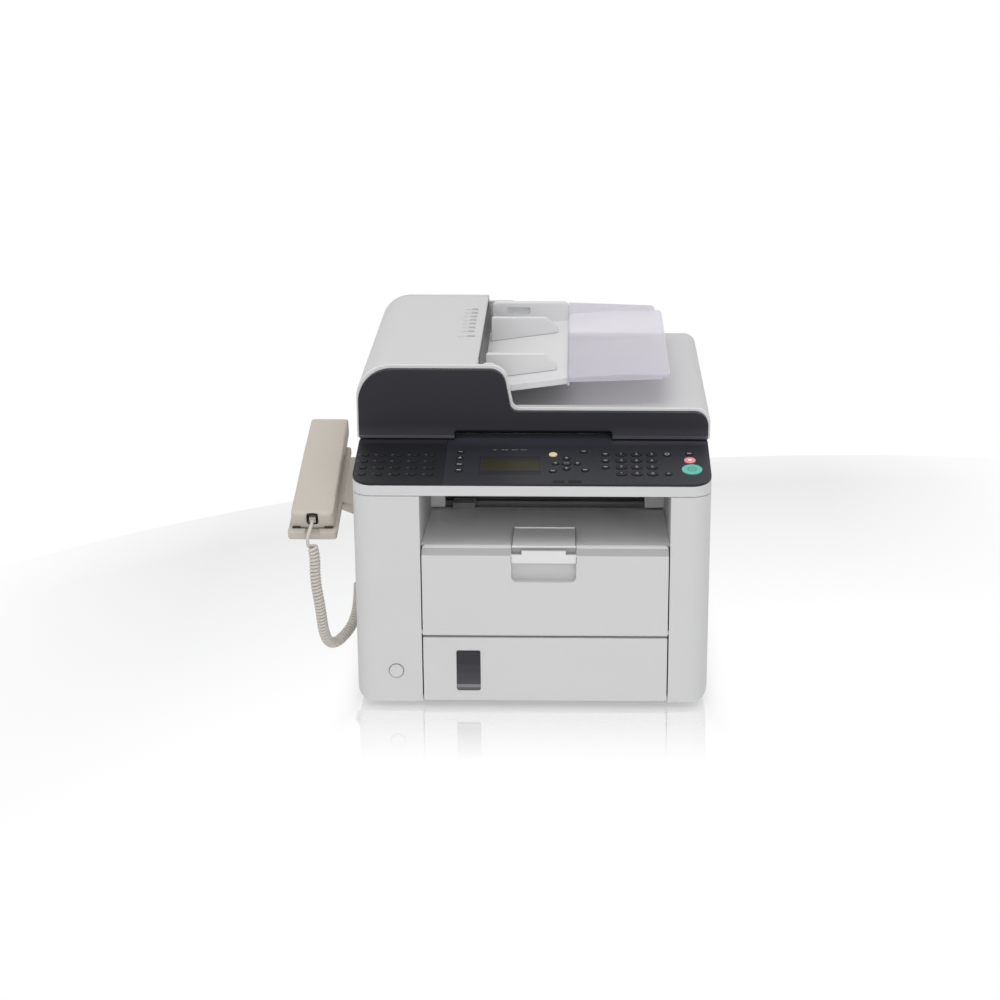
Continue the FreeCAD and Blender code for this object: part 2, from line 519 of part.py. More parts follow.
def front_door():
    """Front cover with its finger pocket, and the paper flap that folds on it."""
    ends = (f"{GATE_LEFT} + door_gap", f"{GATE_RIGHT} - door_gap")
    face = common(
        prism("YZ", *ends, [
            ("0", "door_low", "wall"), ("0", "bevel_z", "wall"), ("bevel_y", "door_high", "wall"),
            ("door_thick", "door_high"), ("door_thick", "door_low"),
        ]),
        prism("XZ", "-1", "door_thick + 1", [
            (ends[0], "door_low - 1"), (ends[1], "door_low - 1"),
            (ends[1], "door_high", "door_round"), (ends[0], "door_high", "door_round"),
        ]),
    )
    bucket = box((f"{HANDLE_LEFT} - wall", f"{HANDLE_RIGHT} + wall"), ("-1", "door_thick + 2"),
                 ("pocket_low - wall", "door_high + 1"))
    hollow = cut(box((f"{ends[0]} + wall", f"{ends[1]} - wall"), ("wall", "door_thick + 1"),
                     ("door_low + wall * 2", "bevel_z - wall")), bucket)
    pocket = prism("XZ", "-1", "door_thick - wall", [
        (HANDLE_LEFT, "pocket_low", "wall * 2"), (HANDLE_RIGHT, "pocket_low", "wall * 2"),
        (HANDLE_RIGHT, "door_high + 1"), (HANDLE_LEFT, "door_high + 1"),
    ])
    pass_way = box((HANDLE_LEFT, HANDLE_RIGHT), ("door_thick - wall - 1", "door_thick + 1"),
                   ("lip_high", "door_high + 1"))
    flap_holes = [
        rod("x", "flap_axis_y", "flap_axis_z", "flap_pin + play", low, f"{low} + wall")
        for low in (f"{HANDLE_LEFT} - wall", HANDLE_RIGHT)
    ]
    shell = cut(face, hollow, pocket, pass_way, *flap_holes)
    lip_depth = ("lip_set", "lip_set + lip_thick")
    bar = box((f"{HANDLE_LEFT} - 0.5", f"{HANDLE_RIGHT} + 0.5"), lip_depth,
              ("lip_low", "lip_high"))
    tab = box(("handle_x - lip_tab / 2", "handle_x + lip_tab / 2"), lip_depth,
              ("lip_high - 1", "lip_top"))
    spans = ((f"{ends[0]} - pin_reach", f"{ends[0]} + wall"),
             (f"{ends[1]} - wall", f"{ends[1]} + pin_reach"))
    pins = [rod("x", "door_axis_y", "door_axis_z", "door_pin", *span) for span in spans]
    keep("front_cover", fuse(shell, bar, tab, *pins))

    slope = "((tray_front_z - tray_back_z) / (tray_back - tray_front))"
    rear_z = f"tray_front_z - {slope} * (flap_back - tray_front) + flap_air"
    room = "slide_air"
    leaf = prism("YZ", f"{HANDLE_LEFT} + {room}", f"{HANDLE_RIGHT} - {room}", [
        ("flap_front", "tray_front_z + flap_air - 1"), ("tray_front", "tray_front_z + flap_air"),
        ("flap_back", rear_z), ("flap_back", f"{rear_z} + flap_thick"),
        ("tray_front", "tray_front_z + flap_air + flap_thick"),
        ("flap_front", "tray_front_z + flap_air + flap_thick - 1"),
    ])
    barrel = rod("x", "flap_axis_y", "flap_axis_z", "flap_pin",
                 f"{HANDLE_LEFT} - wall * 0.8", f"{HANDLE_RIGHT} + wall * 0.8")
    sleeve = rod("x", "flap_axis_y", "flap_axis_z", "flap_pin * 1.8",
                 f"{HANDLE_LEFT} + {room}", f"{HANDLE_RIGHT} - {room}")
    apron = box((f"{HANDLE_LEFT} + {room}", f"{HANDLE_RIGHT} - {room}"),
                ("flap_front", "flap_front + apron_thick"),
                ("flap_axis_z - apron_drop", "tray_front_z + flap_air"))
    keep("paper_stopper", fuse(leaf, barrel, sleeve, apron))


def cassette():
    """Paper cassette: tray, front skin, smoked window and paper plate."""
    low = f"{PAN_TOP} + slide_air"
    sides = (f"{GATE_LEFT} + side_room", f"{GATE_RIGHT} - side_room")
    tub = box(sides, ("cassette_skin", "cassette_back"), (low, "cassette_rim"))
    room = box((f"{sides[0]} + cassette_wall", f"{sides[1]} - cassette_wall"),
               ("cassette_skin + cassette_wall", "cassette_back - cassette_wall"),
               (f"{low} + cassette_wall", "cassette_rim + 1"))
    axis_z = f"{low} + cassette_wall + paper_pin + slide_air"
    spans = ((f"{sides[0]} + 0.5", f"{sides[0]} + cassette_wall + 1"),
             (f"{sides[1]} - cassette_wall - 1", f"{sides[1]} - 0.5"))
    holes = [rod("x", "paper_axis_y", axis_z, "paper_pin + play", *span) for span in spans]
    keep("cassette_tray", cut(tub, room, *holes))

    skin = prism("XZ", "0", "cassette_skin", [
        (f"{GATE_LEFT} + door_gap", "foot_height + 1", "wall"),
        (f"{GATE_RIGHT} - door_gap", "foot_height + 1", "wall"),
        (f"{GATE_RIGHT} - door_gap", "cassette_top"), (f"{GATE_LEFT} + door_gap", "cassette_top"),
    ])
    frame = ("window_x - window_width / 2", "window_x + window_width / 2")
    hollow = box((f"{GATE_LEFT} + door_gap + wall", f"{GATE_RIGHT} - door_gap - wall"),
                 ("wall", "cassette_skin + 1"), ("foot_height + 1 + wall", "cassette_top - wall"))
    pane = [
        (frame[0], "window_low", "window_round"), (frame[1], "window_low", "window_round"),
        (frame[1], "window_high", "window_round"), (frame[0], "window_high", "window_round"),
    ]
    keep("cassette_front", cut(skin, hollow, prism("XZ", "-1", "wall + 1", pane)))
    pane_depth = ("wall / 2 - window_thick / 2", "wall / 2 + window_thick / 2")
    keep("cassette_window", prism("XZ", *pane_depth, pane))

    inner = (f"{sides[0]} + cassette_wall + 1", f"{sides[1]} - cassette_wall - 1")
    leaf = box(inner, ("paper_front", "paper_axis_y"),
               (f"{axis_z} - paper_plate / 2", f"{axis_z} + paper_plate / 2"))
    pin = rod("x", "paper_axis_y", axis_z, "paper_pin", f"{sides[0]} + 0.8", f"{sides[1]} - 0.8")
    keep("lift_plate", fuse(leaf, pin))


def back_parts():
    """Back panel, rear door and the sockets at the back and the left side."""
    opening = ("-rear_left", "rear_right")
    through = ("body_depth - wall - 1", "body_depth + 1")
    panel = box((f"{LEFT} + rear_return", f"{RIGHT} - rear_return"),
                ("body_depth - wall", "body_depth"), (PAN_TOP, "seam_height - lift_drop"))
    ears, tools = [], [box(opening, through, ("rear_low", "rear_high"))]
    for low in ("-rear_left - ear_width", "rear_right"):
        ears.append(box((low, f"{low} + ear_width"),
                        ("rear_axis_y - ear_size / 2", "body_depth - wall / 2"),
                        ("rear_axis_z - ear_size / 2", "rear_axis_z + ear_size / 2")))
        tools.append(rod("x", "rear_axis_y", "rear_axis_z", "door_pin + play",
                         f"{low} - 1", f"{low} + ear_width + 1"))
    blocks = {
        "inlet": ("inlet_x", "inlet_width", "inlet_z", "inlet_height"),
        "network": ("port_x", "port_width", "port_z", "port_height"),
        "data": ("usb_x", "port_width", "port_z", "port_height"),
    }
    sockets = []
    for x, wide, z, tall in blocks.values():
        span = (f"{x} - {wide} / 2", f"{x} + {wide} / 2")
        rise = (f"{z} - {tall} / 2", f"{z} + {tall} / 2")
        tools.append(box(span, through, rise))
        mouth = box((f"{span[0]} + socket_wall", f"{span[1]} - socket_wall"),
                    ("body_depth - port_depth + socket_wall", "body_depth + 1"),
                    (f"{rise[0]} + socket_wall", f"{rise[1]} - socket_wall"))
        sockets.append(cut(box(span, ("body_depth - port_depth", "body_depth"), rise), mouth))
    keep("rear_panel", cut(fuse(panel, *ears), *tools))
    keep("rear_ports", group(*sockets))

    ends = (f"{opening[0]} + rear_gap", f"{opening[1]} - rear_gap")
    slab = prism("YZ", *ends, [
        ("body_depth - rear_inside", "rear_low + rear_lift"),
        ("body_depth + rear_proud", "rear_low + rear_lift", "rear_inside * 0.75"),
        ("body_depth + rear_proud", "rear_high - rear_gap", "wall"),
        ("body_depth - rear_inside", "rear_high - rear_gap"),
    ])
    hollow = box((f"{ends[0]} + wall", f"{ends[1]} - wall"),
                 ("body_depth - rear_inside - 1", "body_depth - wall / 2"),
                 ("rear_axis_z + door_pin * 2", "rear_high - rear_gap - wall"))
    stub = rod("x", "rear_axis_y", "rear_axis_z", "door_pin",
               f"{ends[0]} - ear_width", f"{ends[1]} + ear_width")
    keep("rear_cover", fuse(cut(slab, hollow), stub))

    jacks = []
    for step in range(3):
        middle = f"jack_y + jack_pitch * {step}"
        body = box((LEFT, f"{LEFT} + jack_depth"),
                   (f"{middle} - jack_size / 2", f"{middle} + jack_size / 2"),
                   ("jack_z - jack_size / 2", "jack_z + jack_size / 2"))
        mouth = box((f"{LEFT} - 1", f"{LEFT} + jack_reach"),
                    (f"{middle} - jack_hole / 2", f"{middle} + jack_hole / 2"),
                    ("jack_z - jack_hole * 0.4", "jack_z + jack_hole * 0.4"))
        jacks.append(cut(body, mouth))
    keep("phone_jacks", group(*jacks))

    cap = rod("y", "button_x", "button_z", "button_radius", "-button_proud", "wall + button_rim * 2")
    rim = rod("y", "button_x", "button_z", "button_radius + button_rim",
              "wall + flange_air", "wall + button_rim")
    keep("power_button", fuse(cap, rim))


def scanner_parts():
    """Scanner housing with its glass, guide rod, carriage and lid hinges."""
    slab = prism("XY", SCAN_LOW, "platen_height", [
        (LEFT, "0", "corner_radius"), (RIGHT, "0", "corner_radius"), (RIGHT, "scan_depth"),
        (LEFT, "scan_depth"),
    ])
    under = "panel_height - panel_thick / cos(panel_tilt) + tan(panel_tilt) * "
    tools = []
    for x, back in (((f"{LEFT} - 1", f"{RIGHT} + 1"), "panel_back + 1"),
                    (("-tongue_half - 0.5", "tongue_half + 0.5"), "tongue_back + 1")):
        tools.append(prism("YZ", *x, [
            ("-1", f"{under} (-1)"), (back, f"{under} ({back})"), (back, "platen_height + 9"),
            ("-1", "platen_height + 9"),
        ]))
    floor = f"{SCAN_LOW} + scan_floor"
    inside = (f"{LEFT} + scan_wall", f"{RIGHT} - scan_wall")
    keyed = (f"{LEFT} + panel_wall", f"{RIGHT} - panel_wall")
    tools.append(prism("XY", floor, "platen_height + 1", [
        (keyed[0], "panel_margin", "corner_radius - panel_margin"),
        (keyed[1], "panel_margin", "corner_radius - panel_margin"),
        (keyed[1], "panel_back - panel_margin"), (keyed[0], "panel_back - panel_margin"),
    ]))
    tools.append(box(inside, ("bay_front", "bay_back"), (floor, "platen_height - glass_thick * 1.6")))
    glasses = []
    for left, right in (("glass_left", "glass_right"), ("strip_left", "strip_right")):
        seat = box((left, right), ("glass_front", "glass_back"),
                   ("platen_height - glass_thick", "platen_height + 1"))
        sight = box((f"{left} + glass_ledge", f"{right} - glass_ledge"),
                    ("glass_front + glass_ledge", "glass_back - glass_ledge"),
                    ("platen_height - glass_thick * 3", "platen_height + 1"))
        tools += [seat, sight]
        glasses.append(box((left, right), ("glass_front", "glass_back"),
                           ("platen_height - glass_thick", "platen_height")))
    posts = []
    for side in ("-1", "1"):
        middle = f"{side} * post_x"
        span = (f"{middle} - post_width / 2", f"{middle} + post_width / 2")
        tools.append(box(span, ("post_front", "scan_depth + 1"), ("post_foot", "platen_height + 1")))
        foot = box(span, ("post_front", "post_back"), ("post_foot", "platen_height"))
        neck = box(span, ("lid_axis_y - knuckle_radius - 2.5", "lid_axis_y"),
                   ("platen_height - knuckle_radius", "lid_axis_z"))
        knuckle = rod("x", "lid_axis_y", "lid_axis_z", "knuckle_radius", *span)
        pin = rod("x", "lid_axis_y", "lid_axis_z", "lid_pin",
                  f"{span[0]} - pin_end", f"{span[1]} + pin_end")
        posts.append(fuse(foot, neck, knuckle, pin))
    shell = cut(slab, *tools)
    adds = [shell]
    for side in ("-1", "1"):
        near, far = f"{RIGHT} - wall - lug_gap", f"{RIGHT} - wall - lug_gap - lug_width"
        span = sorted((f"{side} * ({near})", f"{side} * ({far})"), key=number)
        adds.append(cut(
            fuse(rod("x", "lift_axis_y", "lift_axis_z", "lug_radius", *span),
                 box(span, ("lift_axis_y - lug_half", "lift_axis_y + lug_half"),
                     ("lift_axis_z", f"{SCAN_LOW} + 1"))),
            rod("x", "lift_axis_y", "lift_axis_z", "lift_pin + play", f"{span[0]} - 1", f"{span[1]} + 1"),
        ))
    keep("scanner_base", fuse(*adds))
    keep("platen_glass", group(*glasses))
    keep("lid_hinges", group(*posts))
    keep("carriage_rod", rod("x", "rod_y", "rod_z", "rod_radius", *inside))
    sled = box(("carriage_left", "carriage_left + carriage_width"), ("carriage_front", "carriage_back"),
               ("carriage_low", "carriage_high"))
    keep("scan_carriage", cut(sled, rod("x", "rod_y", "rod_z", "rod_radius + play", "carriage_left - 1",
                                        "carriage_left + carriage_width + 1")))


def oval(x, along, wide, tall, low, high):
    """Plate with two round ends, wider than it is tall."""
    reach = f"(({wide}) - ({tall})) / 2"
    return fuse(
        box((f"{x} - {reach}", f"{x} + {reach}"),
            (f"{along} - ({tall}) / 2", f"{along} + ({tall}) / 2"), (low, high)),
        rod("z", f"{x} - {reach}", along, f"({tall}) / 2", low, high),
        rod("z", f"{x} + {reach}", along, f"({tall}) / 2", low, high),
    )


FLANGE_TOP = "(-panel_thick - flange_air)"


def oval_key(x, along):
    """Oval cap with a flange under the panel, and the tool that cuts its opening."""
    cap = oval(x, along, "key_wide", "key_tall", FLANGE_TOP, "key_proud")
    rim = oval(x, along, "key_wide + key_flange * 2", "key_tall + key_flange * 2",
               f"{FLANGE_TOP} - flange_thick", FLANGE_TOP)
    hole = oval(x, along, "key_wide + key_gap * 2", "key_tall + key_gap * 2",
                "-panel_thick - 1", "1")
    return fuse(cap, rim), hole


def round_key(x, along, radius):
    """Round cap with a flange under the panel, and the tool that cuts its opening."""
    cap = rod("z", x, along, radius, FLANGE_TOP, "key_proud")
    rim = rod("z", x, along, f"{radius} + key_flange", f"{FLANGE_TOP} - flange_thick", FLANGE_TOP)
    hole = rod("z", x, along, f"{radius} + key_gap", "-panel_thick - 1", "1")
    return fuse(cap, rim), hole


# Names of the number keys from the back row to the front row.
NUMBER_KEYS = [["key_1", "key_2", "key_3"], ["key_4", "key_5", "key_6"],
               ["key_7", "key_8", "key_9"], ["key_star", "key_0", "key_hash"]]
ROUND_KEYS = {
    "start_key": ("start_x", "start_along", "start_radius"),
    "stop_key": ("stop_x", "stop_along", "stop_radius"),
    "id_key": ("id_x", "id_along", "id_radius"),
}
# Places of the small menu keys on the panel, from its middle and its front edge.
MENU_KEYS = [
    (-79.5, 71.6), (-79.5, 57.6), (-79.5, 42.6), (-79.5, 29.4),
    ("keypad_x - menu_aside", 67.7), ("keypad_x - menu_aside", 52.8),
    ("keypad_x - menu_aside", 37.9), ("keypad_x + menu_aside", 67.9),
    ("keypad_x + menu_aside", 23.3), (25.2, 46.2), (49.2, 46.2), (37.3, 58), (37.3, 34.4),
    (57.5, 31), (22.5, 28.5), (56, 74), ("stop_x", 69.5),
]


def panel_parts():
    """Sloped control panel with its display window and every key."""
    plate = prism("XY", "-panel_thick", "0", [
        (LEFT, "0", "corner_radius"), (RIGHT, "0", "corner_radius"), (RIGHT, "panel_back"),
        ("tongue_half", "panel_back"), ("tongue_half", "tongue_back"),
        ("-tongue_half", "tongue_back"), ("-tongue_half", "panel_back"), (LEFT, "panel_back"),
    ])
    holes = []
    for row, names in enumerate(NUMBER_KEYS):
        for column, label in enumerate(names):
            key, hole = oval_key(f"keypad_x + key_pitch_x * {column - 1}",
                                 f"keypad_first + key_pitch_y * {3 - row}")
            keep(label, key, PANEL)
            holes.append(hole)
    for label, (x, along, radius) in ROUND_KEYS.items():
        key, hole = round_key(x, along, radius)
        keep(label, key, PANEL)
        holes.append(hole)
    touch, menu = [], []
    for row in range(4):
        for column in range(5):
            key, hole = round_key(f"touch_first_x + touch_pitch_x * {column}",
                                  f"touch_first + touch_pitch_y * {row}", "touch_radius")
            touch.append(key)
            holes.append(hole)
    keep("one_touch_keys", group(*touch), PANEL)
    for x, along in MENU_KEYS:
        key, hole = round_key(x, along, "menu_radius")
        menu.append(key)
        holes.append(hole)
    key, hole = round_key("ok_x", "ok_along", "ok_radius")
    keep("menu_keys", group(*menu, key), PANEL)
    holes.append(hole)
    frame = (("display_x - display_wide / 2", "display_x + display_wide / 2"),
             ("display_front", "display_front + display_tall"))
    holes.append(box(*frame, ("-panel_thick - 1", "1")))
    holes.append(box(("groove_x - groove_wide / 2", "groove_x + groove_wide / 2"),
                     ("-1", "panel_back + 1"), ("-groove_deep", "1")))
    keep("control_panel", cut(plate, *holes), PANEL)
    keep("display_window", box(*frame, ("-panel_thick", "-display_sunk")), PANEL)


def notch_line(inset, low):
    """Outline of the grip notch under the lid's front, drawn inside the full one by an inset."""
    half, high, bend = (f"{size} - {inset}" for size in ("notch_half", "notch_high", "notch_round"))
    return [(f"-({half})", low), (half, low), (half, high, bend), (f"-({half})", high, bend)]


def hump(inset, low, notch):
    """Outline of the lid seen from the front, drawn inside the full outline by an inset."""
    half = f"lid_width / 2 - {inset}"
    top, ridge = f"hump_top - {inset} * 1.3", f"lid_top - {inset}"
    start = [(f"-({half})", low), (f"-({half})", top, "hump_round")]
    neck = f"hump_end - {inset} * 0.9"
    rest = [
        (f"{neck} - hump_foot", top, "hump_neck"), (neck, ridge, "hump_foot"),
        (half, ridge, "lid_round"), (half, low),
    ]
    if notch:
        first, *others = notch_line("notch_skin", low)
        rest += [*others, first]
    return start + rest


def lid_parts():
    """Lid housing, its dark front and the white sheet under it."""
    half = "lid_width / 2"
    slab = prism("XZ", WALL_FRONT, "lid_back", [
        (f"-{half}", LID_LOW), (f"-{half}", "lid_top"), (half, "lid_top", "lid_round"),
        (half, LID_LOW),
    ])
    front = prism("XZ", WALL_FRONT, WALL_BACK, hump("0", LID_LOW, False))
    rear = prism("XZ", REAR_FRONT, "lid_back", hump("0", LID_LOW, False))
    bar = box((f"-{half}", f"-{half} + bar_width"), (WALL_FRONT, "lid_back"),
              ("lid_top - 1", "bar_high"))
    recess = prism("XZ", "recess_front", "recess_back", [
        ("recess_left", "recess_low", "wall"), ("recess_right", "lid_top"),
        ("recess_right", "lid_top + 1"), ("recess_left", "lid_top + 1"),
    ])
    bores = (("cover_axis_x", "cover_axis_z", "cover_pin"), ("feed_x", "feed_z", "feed_shaft"),
             ("tray_axis_x", "tray_axis_z", "tray_pin"))
    tools = [
        recess,
        box(("-sheet_half + hollow_rim", "sheet_half - hollow_rim"),
            ("sheet_front + hollow_rim", "sheet_back - hollow_rim"),
            ("platen_height", "hollow_top")),
        prism("XZ", "fascia_front", "notch_back", notch_line("0", "platen_height")),
        box(("cover_end", "hump_end + hump_foot"), (f"{REAR_FRONT} - 1", "lid_back + 1"),
            ("hump_top - rear_trim", "hump_top + 1")),
    ]
    for x, z, radius in bores:
        tools.append(rod("y", x, z, f"{radius} + play", f"{WALL_FRONT} + 0.5", "lid_back - 0.5"))
    for side in ("-1", "1"):
        middle = f"{side} * post_x"
        span = (f"{middle} - post_width / 2", f"{middle} + post_width / 2")
        tools.append(box((f"{span[0]} - post_side", f"{span[1]} + post_side"),
                         ("lid_axis_y - knuckle_radius - 4", "lid_back + 1"),
                         ("platen_height", "lid_axis_z + knuckle_radius + 4")))
        tools.append(rod("x", "lid_axis_y", "lid_axis_z", "lid_pin + play",
                         f"{span[0]} - pin_end - 0.3", f"{span[1]} + pin_end + 0.3"))
    keep("lid_body", cut(fuse(slab, front, rear, bar), *tools))

    low = f"{LID_LOW} + fascia_low"
    face = prism("XZ", "fascia_front", WALL_FRONT, hump("fascia_inset", low, True))
    wedge = prism("YZ", "-lid_width", "lid_width", [
        ("fascia_front - 1", f"{low} - 1"), ("fascia_front + fascia_chamfer * 0.8", f"{low} - 1"),
        ("fascia_front - 1", f"{low} + fascia_chamfer * 1.2"),
    ])
    lining = cut(
        prism("XZ", f"{WALL_FRONT} - 1", "notch_back", notch_line("0", LID_LOW)),
        prism("XZ", "fascia_front - 1", "notch_back - notch_skin",
              notch_line("notch_skin", "platen_height")),
    )
    keep("lid_fascia", fuse(cut(face, wedge), lining))
    keep("platen_sheet", box(("-sheet_half", "sheet_half"), ("sheet_front", "sheet_back"),
                             ("platen_height + sheet_air", LID_LOW)))


def feeder_parts():
    """Feeder cover on its side hinge and the feed roller."""
    half, skin = "lid_width / 2", "cover_skin"
    ends = (f"{WALL_BACK} + cover_gap", f"{REAR_FRONT} - cover_gap")
    bend = f"hump_round - {skin}"
    shell = prism("XZ", *ends, [
        (f"-{half}", "cover_axis_z"), (f"-{half}", "hump_top", "hump_round"),
        ("cover_end", "hump_top", skin), ("cover_end", "cover_lip"),
        (f"cover_end - {skin}", "cover_lip"), (f"cover_end - {skin}", f"hump_top - {skin}"),
        (f"-{half} + {skin}", f"hump_top - {skin}", bend), (f"-{half} + {skin}", "cover_axis_z"),
    ])
    barrel = rod("y", "cover_axis_x", "cover_axis_z", "cover_barrel", *ends)
    pin = rod("y", "cover_axis_x", "cover_axis_z", "cover_pin",
              f"{WALL_FRONT} + 0.8", "lid_back - 0.8")
    bars = [("mark_front", "mark_length")]
    for step in range(int(number("rib_count"))):
        bars.append((f"rib_front + rib_pitch * {step}", "rib_length"))
    ribs = []
    for start, length in bars:
        ribs.append(box((f"rib_x - {length} / 2", f"rib_x + {length} / 2"),
                        (start, f"{start} + rib_thick"),
                        ("hump_top - 1", "hump_top + rib_proud")))
    keep("adf_cover", fuse(shell, barrel, pin, *ribs))

    core = rod("y", "feed_x", "feed_z", "feed_shaft", f"{WALL_FRONT} + 0.8", "lid_back - 0.8")
    middle = "(guide_front_y + guide_rear_y + guide_thick) / 2"
    tyres = []
    for step in (-1, 0, 1):
        centre = f"{middle} + feed_tyre * 2 * {step}"
        tyres.append(rod("y", "feed_x", "feed_z", "feed_radius", f"{centre} - feed_tyre / 2",
                         f"{centre} + feed_tyre / 2"))
    keep("adf_roller", fuse(core, *tyres))


TRAY_SLOPE = "((sheet_right_z - sheet_left_z) / (sheet_right - sheet_left))"


def sheet_z(x):
    """Height of the document tray's upper face at a place across."""
    return f"(sheet_left_z + {TRAY_SLOPE} * (({x}) - sheet_left))"


def document_parts():
    """Document tray with its clear extension and the two sliding guides."""
    ends = ("sheet_tray_front", "sheet_tray_back")
    leaf = prism("XZ", *ends, [
        ("sheet_left", "sheet_left_z - sheet_thick"), ("sheet_right", "sheet_right_z - sheet_thick"),
        ("sheet_right", "sheet_right_z"), ("sheet_left", "sheet_left_z"),
    ])
    rim = prism("XZ", ends[0], f"{ends[0]} + rim_thick", [
        ("sheet_left", "sheet_left_z - 1"), ("sheet_right", "sheet_right_z - 1"),
        ("sheet_right", "sheet_right_z + rim_high"), ("sheet_left", "sheet_left_z + rim_high"),
    ])
    wall_line = f"{ends[1]} - back_wall"
    back = prism("XZ", wall_line, ends[1], [
        ("back_from", f"{sheet_z('back_from')} - 1"), ("sheet_right", "sheet_right_z - 1"),
        ("sheet_right", "back_high", "wall * 2"), ("back_from", "back_high", "wall * 2"),
    ])
    ears = []
    for low, high in ((ends[0], f"{ends[0]} + tray_ear"), (f"{ends[1]} - tray_ear", ends[1])):
        ears.append(prism("XZ", low, high, [
            ("sheet_left", "sheet_left_z - 1"), ("ear_right", f"{sheet_z('ear_right')} - 1"),
            ("ear_right", "ear_top", "wall * 2"), ("sheet_left", "ear_top", "wall * 2"),
        ]))
    pins = [
        rod("y", "tray_axis_x", "tray_axis_z", "tray_pin", f"{WALL_FRONT} + 0.8", f"{ends[0]} + 1"),
        rod("y", "tray_axis_x", "tray_axis_z", "tray_pin", f"{ends[1]} - 1", "lid_back - 0.8"),
    ]
    grip = prism("XZ", f"{wall_line} - 1", f"{wall_line} + grip_deep", [
        ("grip_left", "grip_high - grip_tall", "wall"),
        ("grip_left + grip_width", "grip_high - grip_tall", "wall"),
        ("grip_left + grip_width", "grip_high", "wall / 2"), ("grip_left", "grip_high", "wall / 2"),
    ])
    keep("document_tray", cut(fuse(leaf, rim, back, *ears, *pins), grip))

    thick = "ext_thick"
    lip = prism("XZ", "ext_front", "ext_back", [
        ("sheet_right", f"sheet_right_z - {thick}"),
        (f"sheet_right + {thick}", f"sheet_right_z - {thick}"),
        (f"sheet_right + {thick}", f"ext_start_z - {thick}"),
        ("ext_mid_x", f"ext_mid_z - {thick}", "ext_crown"),
        (f"ext_end - {thick}", f"ext_end_z - {thick}"),
        (f"ext_end - {thick}", "ext_end_z - ext_lip"), ("ext_end", "ext_end_z - ext_lip"),
        ("ext_end", "ext_end_z", thick), ("ext_mid_x", "ext_mid_z", "ext_crown"),
        ("sheet_right", "ext_start_z", thick),
    ])
    plan = prism("XY", "sheet_right_z - 20", "ext_mid_z + 40", [
        ("sheet_right - 1", "ext_front"), ("ext_end", "ext_front", "ext_round"),
        ("ext_end", "ext_back", "ext_round"), ("sheet_right - 1", "ext_back"),
    ])
    gusset = prism("XZ", "ext_back - gusset_thick", "ext_back", [
        ("sheet_right", "ext_start_z - 1"), ("ext_mid_x", "ext_mid_z - 1.5"),
        ("gusset_end", "ext_end_z - 1"), ("gusset_end", "ext_end_z + gusset_tip", "gusset_tip * 0.7"),
        ("sheet_right", "gusset_high"),
    ])
    front_lip = prism("XZ", "ext_front", f"ext_front + {thick}", [
        ("sheet_right", "ext_start_z - ext_lip"), ("ext_end - ext_round", "ext_end_z - ext_lip"),
        ("ext_end - ext_round", "ext_end_z - 1"), ("ext_mid_x", "ext_mid_z - 1.5"),
        ("sheet_right", "ext_start_z - 1"),
    ])
    keep("tray_extension", fuse(common(lip, plan), gusset, front_lip))

    for label, low in (("guide_front", "guide_front_y"), ("guide_rear", "guide_rear_y")):
        keep(label, prism("XZ", low, f"{low} + guide_thick", [
            ("guide_left", f"{sheet_z('guide_left')} + guide_air"),
            ("guide_right", f"{sheet_z('guide_right')} + guide_air"),
            ("guide_right", f"{sheet_z('guide_right')} + 6", "wall"),
            ("guide_right - 14", "guide_top", "wall * 2"), ("guide_left", "guide_top", "wall"),
        ]))


